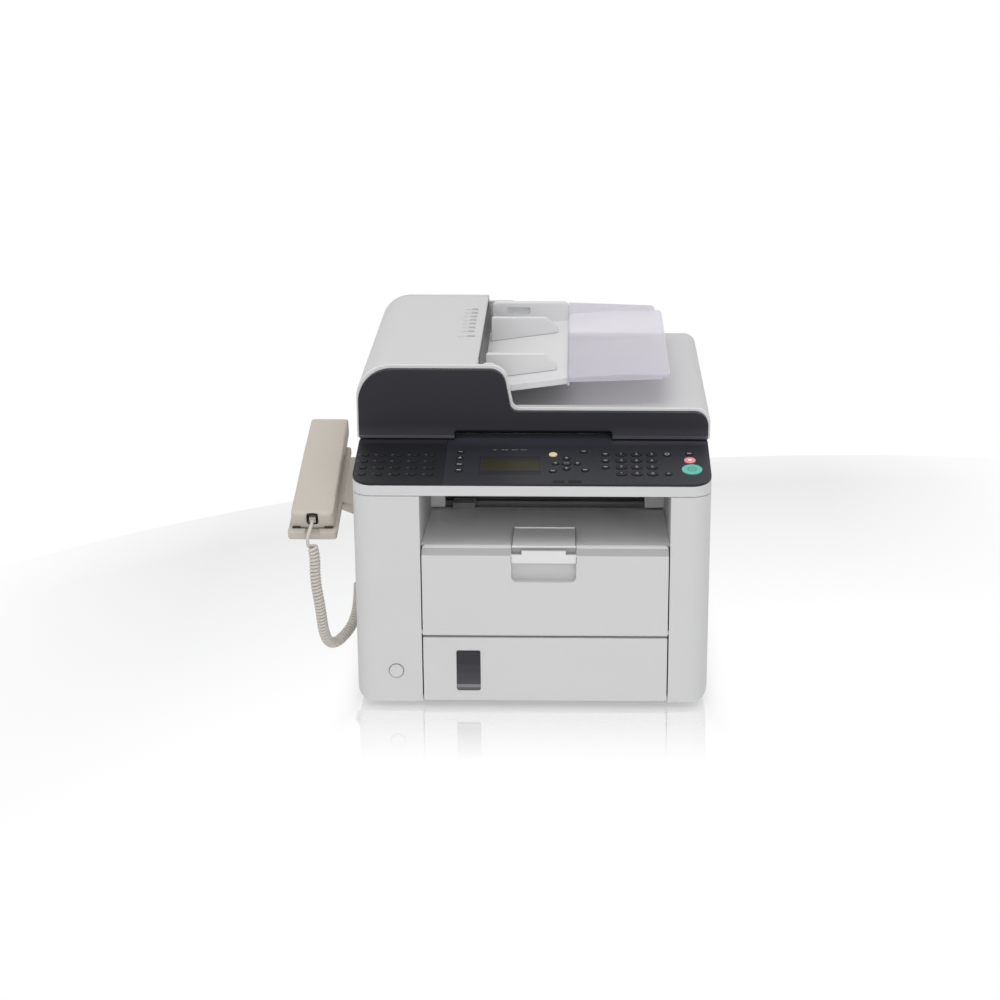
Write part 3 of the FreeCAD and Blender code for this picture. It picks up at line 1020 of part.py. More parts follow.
def handset_parts():
    """Handset, its cradle on the left side and the hook switch, drawn level on their own slope."""
    low, top = "handset_low_width / 2", "handset_top_width / 2"
    plan = prism("XY", "-1", "handset_thick + 1", [
        (f"-{low}", "0", "handset_round"), (low, "0", "handset_round"),
        (top, "handset_length", "handset_round"), (f"-{top}", "handset_length", "handset_round"),
    ])
    ear = "handset_length - handset_ear"
    side = prism("YZ", "-handset_low_width", "handset_low_width", [
        ("0", "0", "edge_round"), ("handset_mouth", "0", "edge_round"),
        ("handset_mouth + grip_slope", "handset_grip", "edge_round * 4"),
        (f"{ear} - grip_slope", "handset_grip", "edge_round * 4"), (ear, "0", "edge_round"),
        ("handset_length", "0", "edge_round"),
        ("handset_length", "handset_thick - 2", "edge_round * 1.5"),
        ("handset_length / 2", "handset_thick", "handset_length * 2"),
        ("0", "handset_thick - 2", "edge_round * 1.5"),
    ])
    cup = box(("-cup_width / 2", "cup_width / 2"), ("-1", "cup_deep"), ("cup_low", "cup_high"))
    keep("handset", cut(common(plan, side), cup), REST)

    half, face = "cradle_width / 2", "-cradle_air"
    tray = prism("XY", "cradle_low", face, [
        (f"-{half}", "cradle_front", "cradle_round"), (half, "cradle_front", "cradle_round"),
        (half, "cradle_back", "cradle_round"), (f"-{half}", "cradle_back", "cradle_round"),
    ])
    lip = prism("XY", "cradle_low", "cradle_lip", [
        (f"-{half}", "cradle_front", "cradle_round"), (half, "cradle_front", "cradle_round"),
        (half, "cradle_lip_back"), (f"-{half}", "cradle_lip_back"),
    ])
    arm = prism("XY", "arm_low", f"{face} - 1", [
        ("0", "arm_front"), (half, "arm_front"), (f"{LEFT} - handset_x", "arm_front - arm_flare"),
        (f"{LEFT} - handset_x", "arm_back"), ("0", "arm_back"),
    ])
    span = ("-hook_wide / 2", "hook_wide / 2")
    reach = ("hook_at - hook_long / 2", "hook_at + hook_long / 2")
    slot = box((f"{span[0]} - hook_gap", f"{span[1]} + hook_gap"),
               (f"{reach[0]} - hook_gap", f"{reach[1]} + hook_gap"),
               ("hook_low - hook_gap", "1"))
    notch = box(("-lip_notch / 2", "lip_notch / 2"), ("cradle_front - 1", "cradle_lip_back + 1"),
                (face, "cradle_lip + 1"))
    keep("cradle", cut(fuse(tray, lip, arm), slot, notch), REST)
    keep("hook_switch", box(span, reach, ("hook_low", "-flange_air * 5")), REST)


# Spline poles of the cord's middle line: a drop from the handset's seat and a rise to the jack.
CORD_DROP = [
    (0, -1.7, 10.9), (0, -16.7, 7), (0, -19.2, -9.2), (4, -19.7, -23.5), (3, -21.7, -50.5),
    (7.5, -19.7, -83.5), (10, -10.7, -125.5), (18, 9.3, -142.5),
]
CORD_RISE = [
    (-17, -90, -64), (-10, -70, -52.5), (-9.5, -42, -36), (-12, -16, -14), (-13, 0, 0),
    (1, 0, 0),
]


def centre_line():
    """Points spaced along the middle line, and its length."""
    seat = V(*[number(text) for text in REST[:3]])
    jack = V(number(LEFT), number("jack_y"), number("jack_z"))
    poles = [seat + V(*step) for step in CORD_DROP] + [jack + V(*step) for step in CORD_RISE]
    spline = Part.BSplineCurve()
    spline.buildFromPoles(poles, False, 2)
    edge = spline.toShape()
    return edge.discretize(Number=1601), edge.Length


def side_frames(points):
    """Direction and two square side directions at each point, carried without twist."""
    frames, side = [], V(1, 0, 0)
    for index, point in enumerate(points):
        ahead = (points[min(index + 1, len(points) - 1)] - points[max(index - 1, 0)]).normalize()
        side = (side - ahead * side.dot(ahead)).normalize()
        frames.append((ahead, side, ahead.cross(side)))
    return frames


def coil_plan(radius, pitch, bend, length):
    """Places along the route and angles of a coil that bends in and out of its run smoothly."""
    steep = math.atan2(2 * math.pi * radius, pitch)
    ease = bend * math.sin(steep)
    swing = bend / radius * (1 - math.cos(steep))
    run = (length - 2 * ease) / math.cos(steep)
    steps = round(run * math.sin(steep) / radius / (math.pi / 2))
    turned = run * math.sin(steep) / radius
    plan = []
    for step in range(4):
        lean = steep * step / 4
        plan.append((bend * math.sin(lean), bend / radius * (1 - math.cos(lean))))
    for step in range(steps + 1):
        share = step / steps
        plan.append((ease + (length - 2 * ease) * share, swing + turned * share))
    for run, angle in plan[3::-1]:
        plan.append((length - run, 2 * swing + turned - angle))
    return plan, turned / (2 * math.pi)


def cord_path(radius, pitch, first, lead):
    """Points and directions of the wire: a tail, the coil and the lead to the jack."""
    points, total = centre_line()
    frames = side_frames(points)
    count = len(points) - 1

    def at(run, angle, lift):
        place = min(max(run / total, 0), 1) * count
        index = min(int(place), count - 1)
        part = place - index
        middle = points[index] * (1 - part) + points[index + 1] * part
        ahead, side, other = frames[index]
        return middle + (side * math.cos(angle) + other * math.sin(angle)) * lift

    def rise(share):
        share = min(max(share * 1.2 - 0.2, 0), 1)
        return radius * share * share * (3 - 2 * share)

    last = total - lead
    plan, turns = coil_plan(radius, pitch, radius * 0.9, last - first)
    places = [(first * step / 8, math.pi, rise(step / 8)) for step in range(8)]
    places += [(first + run, math.pi + angle, radius) for run, angle in plan]
    end_angle = math.pi + plan[-1][1]
    places += [(last + lead * step / 8, end_angle, rise(1 - step / 8)) for step in range(1, 9)]
    dots = [at(*place) for place in places]
    path = []
    for index, (run, angle, lift) in enumerate(places):
        before, after = places[max(index - 1, 0)], places[min(index + 1, len(places) - 1)]
        nudge = 0.004
        ends = []
        for other in (before, after):
            ends.append(at(*[own + (far - own) * nudge for own, far in zip(places[index], other)]))
        path.append((dots[index], (ends[1] - ends[0]).normalize()))
    return path, turns


def arc_between(start, heading, end):
    """Arc that leaves a point along a direction and ends at another point."""
    chord = end - start
    along = V(chord).normalize()
    rise = heading - along * heading.dot(along)
    if rise.Length < 1e-5:
        return Part.LineSegment(start, end).toShape()
    angle = heading.getAngle(chord)
    middle = start + chord * 0.5 + rise.normalize() * (chord.Length / 2 * math.tan(angle / 2))
    return Part.Arc(start, middle, end).toShape()


def two_arcs(first, second):
    """Two arcs that join two points smoothly along their directions."""
    (start, leave), (end, arrive) = first, second
    gap = end - start
    total = leave + arrive
    turn = 1 - leave.dot(arrive)
    if turn < 1e-9:
        reach = gap.dot(gap) / (2 * gap.dot(total))
    else:
        pull = gap.dot(total)
        reach = (math.sqrt(pull * pull + 2 * turn * gap.dot(gap)) - pull) / (2 * turn)
    middle = (start + leave * reach + end - arrive * reach) * 0.5
    return [arc_between(start, leave, middle), arc_between(end, arrive * -1, middle)]


def cord():
    """Coiled handset cord as one tube."""
    wire_radius = number("cord_wire") / 2
    path, turns = cord_path(number("(cord_coil - cord_wire) / 2"), number("cord_pitch"),
                            number("cord_tail"), number("cord_lead"))
    edges = []
    for first, second in zip(path, path[1:]):
        edges += two_arcs(first, second)
    spine = Part.Wire(Part.__sortEdges__(edges))
    start, heading = path[0]
    ring = Part.Wire(Part.makeCircle(wire_radius, start, heading))
    tube = doc.addObject("Part::Feature", "cord")
    tube.Shape = spine.makePipeShell([ring], True, False)
    dots = spine.discretize(Distance=0.8)
    near = min(
        dots[one].distanceToPoint(dots[two])
        for one in range(0, len(dots), 2)
        for two in range(one + 12, min(one + 130, len(dots)))
    )
    tightest = min(edge.Curve.Radius for edge in spine.Edges if hasattr(edge.Curve, "Radius"))
    print(f"cord: {turns:.1f} turns, wire {spine.Length:.0f} mm, "
          f"own gap {near - 2 * wire_radius:.2f} mm, tightest bend {tightest:.2f} mm")
    half, deep, air = "plug_size / 2", "plug_length", "plug_air"
    wall_plug = box((f"{LEFT} + jack_reach - {air} - {deep}", f"{LEFT} + jack_reach - {air}"),
                    (f"jack_y - {half}", f"jack_y + {half}"),
                    (f"jack_z - {half}", f"jack_z + {half}"))
    ear_plug = group(box((f"-{half}", half), (f"cup_deep - {air} - {deep}", f"cup_deep - {air}"),
                         (f"cup_middle - {half}", f"cup_middle + {half}")))
    turn = FreeCAD.Rotation(V(1, 0, 0), number(REST[3]))
    ear_plug.Placement = FreeCAD.Placement(V(), turn)
    bind(ear_plug, "Placement.Rotation.Angle", REST[3])
    for axis, text in zip("xyz", REST):
        bind(ear_plug, f"Placement.Base.{axis}", text)
    keep("curly_cord", group(tube, wall_plug, ear_plug))


def write_files():
    """Check every object and write one file for each piece."""
    doc.recompute()
    for thing in doc.Objects:
        if "Invalid" in thing.State or "Error" in thing.State:
            raise RuntimeError(f"{thing.Label}: {thing.State}")
    os.makedirs("parts", exist_ok=True)
    for piece in PIECES:
        shape = piece.Shape
        if shape.isNull() or not shape.isValid() or not shape.Solids:
            raise RuntimeError(f"{piece.Label} has no valid solid")
        shape.exportStep(f"parts/{piece.Label}.step")


base_parts()
side_cover("left_cover", "-1", "left_pillar")
side_cover("right_cover", "1", "right_pillar")
frame_plates()
exit_tray()
rollers()
inner_units()
front_door()
cassette()
back_parts()
scanner_parts()
panel_parts()
lid_parts()
feeder_parts()
document_parts()
handset_parts()
cord()
write_files()
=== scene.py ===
"""Looks of a desktop fax machine with a side handset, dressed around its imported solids."""
import json
import logging
import math
from collections.abc import Iterable, Sequence
from dataclasses import dataclass, field
from enum import Enum

import bmesh
import bpy
import numpy as np
from mathutils import Matrix, Vector

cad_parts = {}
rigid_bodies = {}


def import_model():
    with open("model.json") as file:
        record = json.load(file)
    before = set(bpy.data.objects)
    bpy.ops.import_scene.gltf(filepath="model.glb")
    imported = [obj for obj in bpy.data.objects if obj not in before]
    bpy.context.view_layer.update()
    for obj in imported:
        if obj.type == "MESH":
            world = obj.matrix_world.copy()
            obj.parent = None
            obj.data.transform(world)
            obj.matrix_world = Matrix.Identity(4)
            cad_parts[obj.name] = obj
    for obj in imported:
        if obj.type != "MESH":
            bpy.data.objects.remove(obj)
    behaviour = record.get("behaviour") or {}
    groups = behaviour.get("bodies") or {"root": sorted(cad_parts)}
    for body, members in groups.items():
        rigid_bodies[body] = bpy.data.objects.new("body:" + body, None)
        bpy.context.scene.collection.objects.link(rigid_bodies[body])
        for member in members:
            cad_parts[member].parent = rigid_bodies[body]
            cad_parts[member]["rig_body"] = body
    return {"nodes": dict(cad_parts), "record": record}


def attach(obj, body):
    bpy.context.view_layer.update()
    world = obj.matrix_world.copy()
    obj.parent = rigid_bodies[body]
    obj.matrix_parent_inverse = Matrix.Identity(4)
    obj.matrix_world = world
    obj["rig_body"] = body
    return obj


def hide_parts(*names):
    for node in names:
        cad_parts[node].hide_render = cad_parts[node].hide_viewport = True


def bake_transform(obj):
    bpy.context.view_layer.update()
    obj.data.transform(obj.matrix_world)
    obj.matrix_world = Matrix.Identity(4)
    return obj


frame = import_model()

LOG = logging.getLogger("fax_machine")
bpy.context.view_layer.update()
NODES = frame["nodes"]
AXLES = {joint["child"]: joint["pos_m"] for joint in frame["record"]["behaviour"]["joints"]
         if joint["type"] == "hinge"}

Colour = tuple[int, int, int]
Point = tuple[float, float, float]
Spot = tuple[float, float]
# Plane across an axis of the machine: number of the axis and place in millimetres.
Cut = tuple[int, float]

# Colour of the surround and of what the floor mirrors.
WHITE = (1, 1, 1, 1)

# The machine is laid out in millimetres from the middle of its front face.
MACHINE = Matrix.Translation((0.0365, -0.2175, 0)) @ Matrix.Scale(0.001, 4)


def slope(seat: Point, tilt: float) -> Matrix:
    """Frame, in millimetres, of a face that rises to the back by a tilt in degrees."""
    return MACHINE @ Matrix.Translation(seat) @ Matrix.Rotation(math.radians(tilt), 4, "X")


PANEL = slope((0, 0, 261), 9.65)
REST = slope((-243, 50.7, 189.5), 14.5)
# Faces to draw on from outside: across, up and out of the machine.
UPRIGHT = Matrix.Rotation(math.pi / 2, 4, "X")
FRONT = MACHINE @ UPRIGHT
BACK = MACHINE @ Matrix.Rotation(math.pi, 4, "Z") @ UPRIGHT
LEFT = MACHINE @ Matrix.Rotation(-math.pi / 2, 4, "Z") @ UPRIGHT
RIGHT = MACHINE @ Matrix.Rotation(math.pi / 2, 4, "Z") @ UPRIGHT
UNDER = MACHINE @ Matrix.Rotation(math.pi, 4, "X")
REST_UNDER = REST @ Matrix.Rotation(math.pi, 4, "X")


def linear(colour: Colour) -> tuple[float, float, float, float]:
    """Linear colour of a screen colour.

    Args:
        colour: Red, green and blue from 0 to 255.

    Returns:
        Linear red, green, blue and full opacity.
    """
    parts = [value / 255 for value in colour]
    flat = [p / 12.92 if p < 0.04045 else ((p + 0.055) / 1.055) ** 2.4 for p in parts]
    return (*flat, 1.0)


class Wire:
    """A shader value that takes part in Python arithmetic."""

    def __init__(self, nodes: "Nodes", socket: bpy.types.NodeSocket) -> None:
        """Keep the socket and the tree that it belongs to."""
        self.nodes = nodes
        self.socket = socket

    def maths(self, operation: str, *others: "Wire | float") -> "Wire":
        """Value of a Math node that takes this wire and the others."""
        values = dict(enumerate((self, *others)))
        return self.nodes.node("ShaderNodeMath", {"operation": operation}, values)

    def __add__(self, other: "Wire | float") -> "Wire":
        """Sum."""
        return self.maths("ADD", other)

    __radd__ = __add__

    def __sub__(self, other: "Wire | float") -> "Wire":
        """Difference."""
        return self.maths("SUBTRACT", other)

    def __rsub__(self, other: float) -> "Wire":
        """Difference from a number."""
        return self.maths("MULTIPLY", -1.0) + other

    def __mul__(self, other: "Wire | float") -> "Wire":
        """Product."""
        return self.maths("MULTIPLY", other)

    __rmul__ = __mul__

    def __gt__(self, other: float) -> "Wire":
        """One where the value is greater."""
        return self.maths("GREATER_THAN", other)

    def __lt__(self, other: float) -> "Wire":
        """One where the value is less."""
        return self.maths("LESS_THAN", other)

    def clamped(self) -> "Wire":
        """The value held between 0 and 1."""
        return self.maths("MAXIMUM", 0.0).maths("MINIMUM", 1.0)


class Nodes:
    """Node tree that grows by one method."""

    def __init__(self, tree: bpy.types.NodeTree) -> None:
        """Keep the tree."""
        self.tree = tree

    def node(self, kind: str, settings: dict | None = None, sockets: dict | None = None,
             out: int | str = 0) -> Wire:
        """Add a node.

        Args:
            kind: Blender's name of the node type.
            settings: Properties of the node.
            sockets: Values or wires by socket name or number.
            out: Output that is returned.

        Returns:
            The chosen output.
        """
        made = self.tree.nodes.new(kind)
        for key, value in (settings or {}).items():
            setattr(made, key, value)
        for key, value in (sockets or {}).items():
            self.feed(made.inputs[key], value)
        return Wire(self, made.outputs[out])

    def feed(self, socket: bpy.types.NodeSocket, value: "Wire | float | Sequence[float]") -> None:
        """Link a wire to a socket, or set the socket's own value.

        Args:
            socket: Input that is fed.
            value: Wire, number, colour or vector.
        """
        if isinstance(value, Wire):
            self.tree.links.new(value.socket, socket)
        else:
            socket.default_value = value


class Shader(Nodes):
    """Node tree of one material."""

    def __init__(self, name: str) -> None:
        """Start a material with its surface and output."""
        self.material = bpy.data.materials.new(name)
        self.material.use_nodes = True
        super().__init__(self.material.node_tree)
        self.surface = self.tree.nodes["Principled BSDF"]

    def place(self) -> Wire:
        """Object coordinates, which are the shared frame's metres."""
        return self.node("ShaderNodeTexCoord", out="Object")

    def axes(self) -> tuple[Wire, Wire, Wire]:
        """The three object coordinates one by one."""
        cut = self.node("ShaderNodeSeparateXYZ", {}, {0: self.place()}).socket.node
        return tuple(Wire(self, output) for output in cut.outputs)

    def noise(self, size: float, detail: float = 2.0, stretch: Point = (1, 1, 1)) -> Wire:
        """Cloudy pattern.

        Args:
            size: Width of one cloud in millimetres.
            detail: Number of finer layers.
            stretch: Scale of the pattern on each axis.

        Returns:
            Value from 0 to 1.
        """
        where = self.node("ShaderNodeMapping", {}, {"Vector": self.place(), "Scale": stretch})
        return self.node("ShaderNodeTexNoise", {}, {
            "Vector": where, "Scale": 1000 / size, "Detail": detail, "Roughness": 0.55})

    def mix(self, share: Wire, first: "Wire | Sequence[float]",
            second: "Wire | Sequence[float]") -> Wire:
        """Blend of two colours by the share of the second."""
        sockets = {0: share, 6: first, 7: second}
        return self.node("ShaderNodeMix", {"data_type": "RGBA"}, sockets, 2)

    def bump(self, height: Wire, strength: float, reach: float) -> Wire:
        """Normal of a relief whose reach is in millimetres."""
        return self.node("ShaderNodeBump", {}, {
            "Height": height, "Strength": strength, "Distance": reach / 1000})

    def dress(self, **sockets: "Wire | float | Sequence[float]") -> bpy.types.Material:
        """Feed the surface.

        Args:
            sockets: Values by socket name, with _ for a space.

        Returns:
            The finished material.
        """
        for key, value in sockets.items():
            self.feed(self.surface.inputs[key.replace("_", " ")], value)
        return self.material


def tinted(colour: Colour, factor: float) -> tuple[float, ...]:
    """Linear colour made lighter or darker."""
    return (*[min(value * factor, 1.0) for value in linear(colour)[:3]], 1.0)


@dataclass(frozen=True)
class Zone:
    """Box of the machine, in millimetres, where a finish has another colour, mostly painted light
    or shade.
    """

    low: Point
    high: Point
    colour: Colour
    fade: float = 0.02

    def inside(self, shader: Shader) -> Wire:
        """One inside the box, and less within the fade from its sides.

        Args:
            shader: Tree that asks.

        Returns:
            Value from 0 to 1.
        """
        low, high = MACHINE @ Vector(self.low), MACHINE @ Vector(self.high)
        depths = [(spot - first).maths("MINIMUM", last - spot) * (1000 / self.fade)
                  for spot, first, last in zip(shader.axes(), low, high)]
        sides = [depth.clamped() for depth in depths]
        return sides[0] * sides[1] * sides[2]


@dataclass(frozen=True)
class Moulded:
    """Moulded plastic with a fine grain from its tool."""

    name: str
    colour: Colour
    roughness: float = 0.5
    grain: float = 0.55
    relief: float = 0.3
    mottle: float = 0.012
    coat: float = 0.0
    alpha: float = 1.0
    gloss: float = 0.5
    zones: tuple[Zone, ...] = ()

    def make(self) -> bpy.types.Material:
        """Build the material.

        Returns:
            The finished material.
        """
        shader = Shader(self.name)
        cloud = shader.noise(38, 3)
        haze = shader.noise(7, 2)
        tone = shader.mix(cloud, tinted(self.colour, 1 - self.mottle),
                          tinted(self.colour, 1 + self.mottle))
        for zone in self.zones:
            tone = shader.mix(zone.inside(shader), tone, linear(zone.colour))
        normal = shader.bump(shader.noise(self.grain, 2), self.relief, 0.05)
        rough = self.roughness - 0.05 + haze * 0.06 + cloud * 0.04
        return shader.dress(Base_Color=tone, Roughness=rough, Normal=normal, IOR=1.46,
                            Specular_IOR_Level=self.gloss, Coat_Weight=self.coat,
                            Coat_Roughness=0.12, Alpha=self.alpha)


@dataclass(frozen=True)
class Roller:
    """Rubber tyres on a ground steel shaft that runs along one axis."""

    name: str
    axis: str
    body: str
    shaft: float
    colour: Colour = (46, 45, 46)
    # Factor on the steel's colour; below one it paints shade on the shaft.
    steel_shade_factor: float = 1.0
    dull: Colour = (150, 150, 153)
    bright: Colour = (196, 196, 198)

    def make(self) -> bpy.types.Material:
        """Build the material.

        Returns:
            The finished material.
        """
        shader = Shader(self.name)
        spots = zip("xyz", shader.axes(), AXLES[self.body])
        first, second = [spot - middle for name, spot, middle in spots if name != self.axis]
        tyre = (first * first + second * second) > self.shaft ** 2
        grain = shader.noise(0.6, 3)
        rubber = shader.mix(grain, tinted(self.colour, 0.75), tinted(self.colour, 1.3))
        steel = shader.mix(shader.noise(2, 2), tinted(self.dull, self.steel_shade_factor),
                           tinted(self.bright, self.steel_shade_factor))
        return shader.dress(Base_Color=shader.mix(tyre, steel, rubber), Metallic=1 - tyre,
                            Roughness=0.28 + tyre * 0.5,
                            Normal=shader.bump(grain, 0.2, 0.05))


@dataclass(frozen=True)
class Steel:
    """Rolled sheet or ground rod, drawn along one axis."""

    name: str
    stretch: Point
    colour: Colour = (186, 187, 190)
    roughness: float = 0.32

    def make(self) -> bpy.types.Material:
        """Build the material.

        Returns:
            The finished material.
        """
        shader = Shader(self.name)
        lines = shader.noise(1.2, 3, self.stretch)
        tone = shader.mix(lines, tinted(self.colour, 0.82), tinted(self.colour, 1.08))
        return shader.dress(Base_Color=tone, Metallic=1.0,
                            Roughness=self.roughness - 0.08 + lines * 0.16,
                            Normal=shader.bump(lines, 0.12, 0.03))


@dataclass(frozen=True)
class Clear:
    """See-through sheet with a faint tint."""

    name: str
    colour: Colour
    alpha: float
    roughness: float = 0.12

    def make(self) -> bpy.types.Material:
        """Build the material.

        Returns:
            The finished material.
        """
        shader = Shader(self.name)
        cloud = shader.noise(30, 2)
        tone = shader.mix(cloud, tinted(self.colour, 0.98), tinted(self.colour, 1.02))
        return shader.dress(Base_Color=tone, Roughness=self.roughness + cloud * 0.05, IOR=1.49,
                            Alpha=self.alpha, Normal=shader.bump(cloud, 0.04, 0.2))


@dataclass(frozen=True)
class Screen:
    """Display glass with rows of faint character cells."""

    name: str
    dark: Colour = (32, 28, 12)
    light: Colour = (48, 43, 18)
    cell: Spot = (0.0036, 0.0085)
    gap: Spot = (0.00016, 0.0004)

    def make(self) -> bpy.types.Material:
        """Build the material.

        Returns:
            The finished material.
        """
        shader = Shader(self.name)
        along, back, _ = shader.axes()
        gap = (along.maths("PINGPONG", self.cell[0] / 2) < self.gap[0]) + (
            back.maths("PINGPONG", self.cell[1] / 2) < self.gap[1])
        glow = shader.noise(20, 1)
        tone = shader.mix(gap.maths("MINIMUM", 1.0) * 0.35 + glow * 0.3,
                          linear(self.light), linear(self.dark))
        return shader.dress(Base_Color=tone, Roughness=0.4 + glow * 0.06,
                            Specular_IOR_Level=0.3)


@dataclass(frozen=True)
class CordSkin:
    """Soft plastic of the cord, a little uneven in its gloss."""

    name: str
    colour: Colour

    def make(self) -> bpy.types.Material:
        """Build the material.

        Returns:
            The finished material.
        """
        shader = Shader(self.name)
        grime = shader.noise(16, 3)
        tone = shader.mix(grime, tinted(self.colour, 0.95), tinted(self.colour, 1.04))
        return shader.dress(Base_Color=tone, Roughness=0.42 + grime * 0.12, IOR=1.5,
                            Normal=shader.bump(shader.noise(0.7, 2), 0.12, 0.04))


class Finish(Enum):
    """Every finish of the machine."""

    WHITE = Moulded("light_housing", (212, 212, 213))
    # Side covers: the lighter boxes at the back of the paper exit are painted light on walls in
    # shade.
    SIDE = Moulded("side_housing", (212, 212, 213), zones=(
        Zone((-122, 183, 160), (-104, 200, 247), (250, 250, 250)),
        Zone((127, 183, 160), (151, 200, 247), (250, 250, 250))))
    FEEDER = Moulded("tray_housing", (224, 224, 225))
    # Lid: the lighter band along the front rim is a painted highlight.
    LID = Moulded("lid_housing", (209, 208, 209), zones=(
        Zone((-200, 107.5, 279), (200, 111, 363), (240, 239, 239)),))
    # Feeder cover: the darker ribs are painted shade, and the dark strip on the lip of the feed
    # opening is painted shade.
    COVER = Moulded("feeder_housing", (210, 209, 210), zones=(
        Zone((-79.5, 225, 362.3), (-60, 380, 364), (170, 169, 170)),
        Zone((-62.4, 140, 349), (-61.4, 428, 361), (74, 73, 76))))
    # Front cover: the darker band on the top bevel is painted shade under the scanner; the lighter
    # handle lip is a painted highlight.
    DOOR = Moulded("front_housing", (212, 212, 213), zones=(
        Zone((-125, 0.5, 177.9), (152, 6, 185), (176, 175, 176)),
        Zone((-22.4, 0.6, 169), (48.4, 4.2, 184), (228, 228, 228))))
    # Flap: the whole colour is lightened as painted light against its shade; the darker front
    # strip and side lines are painted shade and shadow in the gaps; the light back edge is a
    # painted highlight.
    FLAP = Moulded("flap_plastic", (228, 227, 228), zones=(
        Zone((-25, 4, 180), (51, 7, 186.2), (150, 149, 150)),
        Zone((-25, 6, 170), (-21.1, 82, 190), (104, 103, 104)),
        Zone((47.1, 6, 170), (51, 82, 190), (104, 103, 104)),
        Zone((-21.1, 76.5, 170), (47.1, 82, 190), (254, 254, 254))))
    # Exit floor: the whole colour is lightened as painted light against its shade; the darker band
    # at the back is painted shade.
    TRAY = Moulded("exit_plastic", (248, 247, 247), zones=(
        Zone((-130, 195.4, 160), (160, 210, 172), (120, 119, 121)),))
    # Dark panel: the left part is darker; the lighter strips along the back and on the tongue
    # under the lid are painted light against the lid's shadow, and the near-black band at the
    # tongue's back edge is painted shade.
    PANEL_DARK = Moulded("dark_panel", (35, 36, 43), 0.46, 0.5, 0.22, 0.05, gloss=0.35, zones=(
        Zone((-200, -5, 255), (-96, 105, 285), (20, 21, 25)),
        Zone((-230, 88, 240), (-84, 140, 300), (40, 41, 47), 6.0),
        Zone((84, 88, 240), (230, 140, 300), (60, 61, 68), 6.0),
        Zone((-94, 84, 240), (94, 140, 310), (54, 55, 63), 12.0),
        Zone((-94, 98, 240), (94, 140, 310), (80, 80, 88), 12.0),
        Zone((-94, 114.8, 255), (94, 140, 292), (14, 14, 16))))
    # Dark fascia: the lighter lower parts and lower edge are painted highlights; the near-black
    # lining of the finger notch is painted shade.
    FASCIA = Moulded("dark_fascia", (33, 33, 40), 0.5, 0.5, 0.25, 0.05, gloss=0.35, zones=(
        Zone((-230, 60, 260), (-84, 140, 295), (50, 50, 58), 9.0),
        Zone((84, 60, 260), (230, 140, 295), (52, 52, 60), 9.0),
        Zone((-200, 99, 278), (200, 103.6, 283.4), (112, 111, 119)),
        Zone((-95, 103.6, 278), (95, 130, 292), (18, 18, 20))))
    FRAME_DARK = Moulded("display_frame", (46, 46, 52), 0.45, 0.5, 0.2, 0.04, gloss=0.35)
    KEY_DARK = Moulded("dark_keys", (24, 24, 28), 0.46, 0.4, 0.2, 0.05, gloss=0.3)
    GREY = Moulded("inner_grey_plastic", (128, 128, 131), 0.55, 0.7, 0.3, 0.04)
    BLACK = Moulded("inner_black_plastic", (34, 33, 35), 0.55, 0.7, 0.35, 0.06)
    # Dark socket plastic, also used for painted shade in the handset's holes and cord opening.
    SOCKET = Moulded("socket_plastic", (28, 28, 29), 0.45, 0.5, 0.3, 0.05)
    BOARD = Moulded("lacquered_board", (46, 110, 70), 0.35, 0.9, 0.2, 0.08, 0.2)
    BEIGE = Moulded("handset_plastic", (197, 190, 179), 0.46, 0.55, 0.3, 0.02)
    SHEET = Moulded("backing_sheet", (238, 238, 235), 0.6, 0.9, 0.2, 0.01)
    MINT = Moulded("mint_key", (92, 188, 175), 0.34, 0.5, 0.1, 0.03, 0.3)
    SALMON = Moulded("salmon_key", (246, 152, 143), 0.34, 0.5, 0.1, 0.03, 0.3)
    YELLOW = Moulded("yellow_key", (238, 224, 172), 0.34, 0.5, 0.1, 0.03, 0.3)
    PRINT = Moulded("pale_print", (150, 151, 157), 0.55, 0.3, 0.1, 0.02)
    DIM_PRINT = Moulded("dim_print", (112, 113, 118), 0.55, 0.3, 0.1, 0.02)
    # Dark grey of the exit lever, also used for lines of painted shadow in gaps.
    GREY_LEVER_AND_GAP_SHADOW = Moulded("grey_print", (150, 150, 151), 0.55, 0.3, 0.1, 0.02)
    TEAL_PRINT = Moulded("teal_print", (40, 140, 128), 0.5, 0.3, 0.1, 0.02)
    PAPER = Moulded("paper_edge", (232, 231, 228), 0.7, 0.9, 0.3, 0.02)
    RUBBER = Moulded("foot_rubber", (48, 47, 47), 0.75, 0.8, 0.5, 0.08)
    LENS = Moulded("lamp_lens", (9, 9, 10), 0.35, 0.6, 0.05, 0.05, gloss=0.2)
    DISPLAY = Moulded("display_pane", (30, 30, 36), 0.5, 0.6, 0.05, 0.05, gloss=0.3)
    SMOKED = Moulded("smoked_window", (50, 48, 54), 0.2, 0.8, 0.04, 0.06, 0.1, 0.94, 0.3, zones=(
        Zone((-90, 0, 40), (-50, 4, 50), (58, 56, 62)),
        Zone((-90, 0, 32), (-50, 4, 40), (64, 62, 68)),
        Zone((-90, 0, 26.4), (-50, 4, 32), (70, 68, 74)),
        Zone((-90, 0, 22.6), (-50, 4, 26.4), (132, 130, 138)),
        Zone((-90, 0, 18), (-50, 4, 22.6), (92, 90, 96))))
    GOLD = Steel("contact_gold", (1, 9, 1), (214, 176, 96), 0.25)
    PLATE = Steel("plated_sheet", (1, 6, 0.6))
    ROD = Steel("ground_rod", (0.4, 12, 12), (190, 190, 193), 0.22)
    SCREW = Steel("plated_screw", (4, 4, 4), (150, 150, 152), 0.35)
    GLASS = Clear("scan_glass", (208, 222, 220), 0.35, 0.03)
    LILAC = Clear("clear_extension", (222, 218, 230), 0.5, 0.16)
    SCREEN = Screen("display_cells")
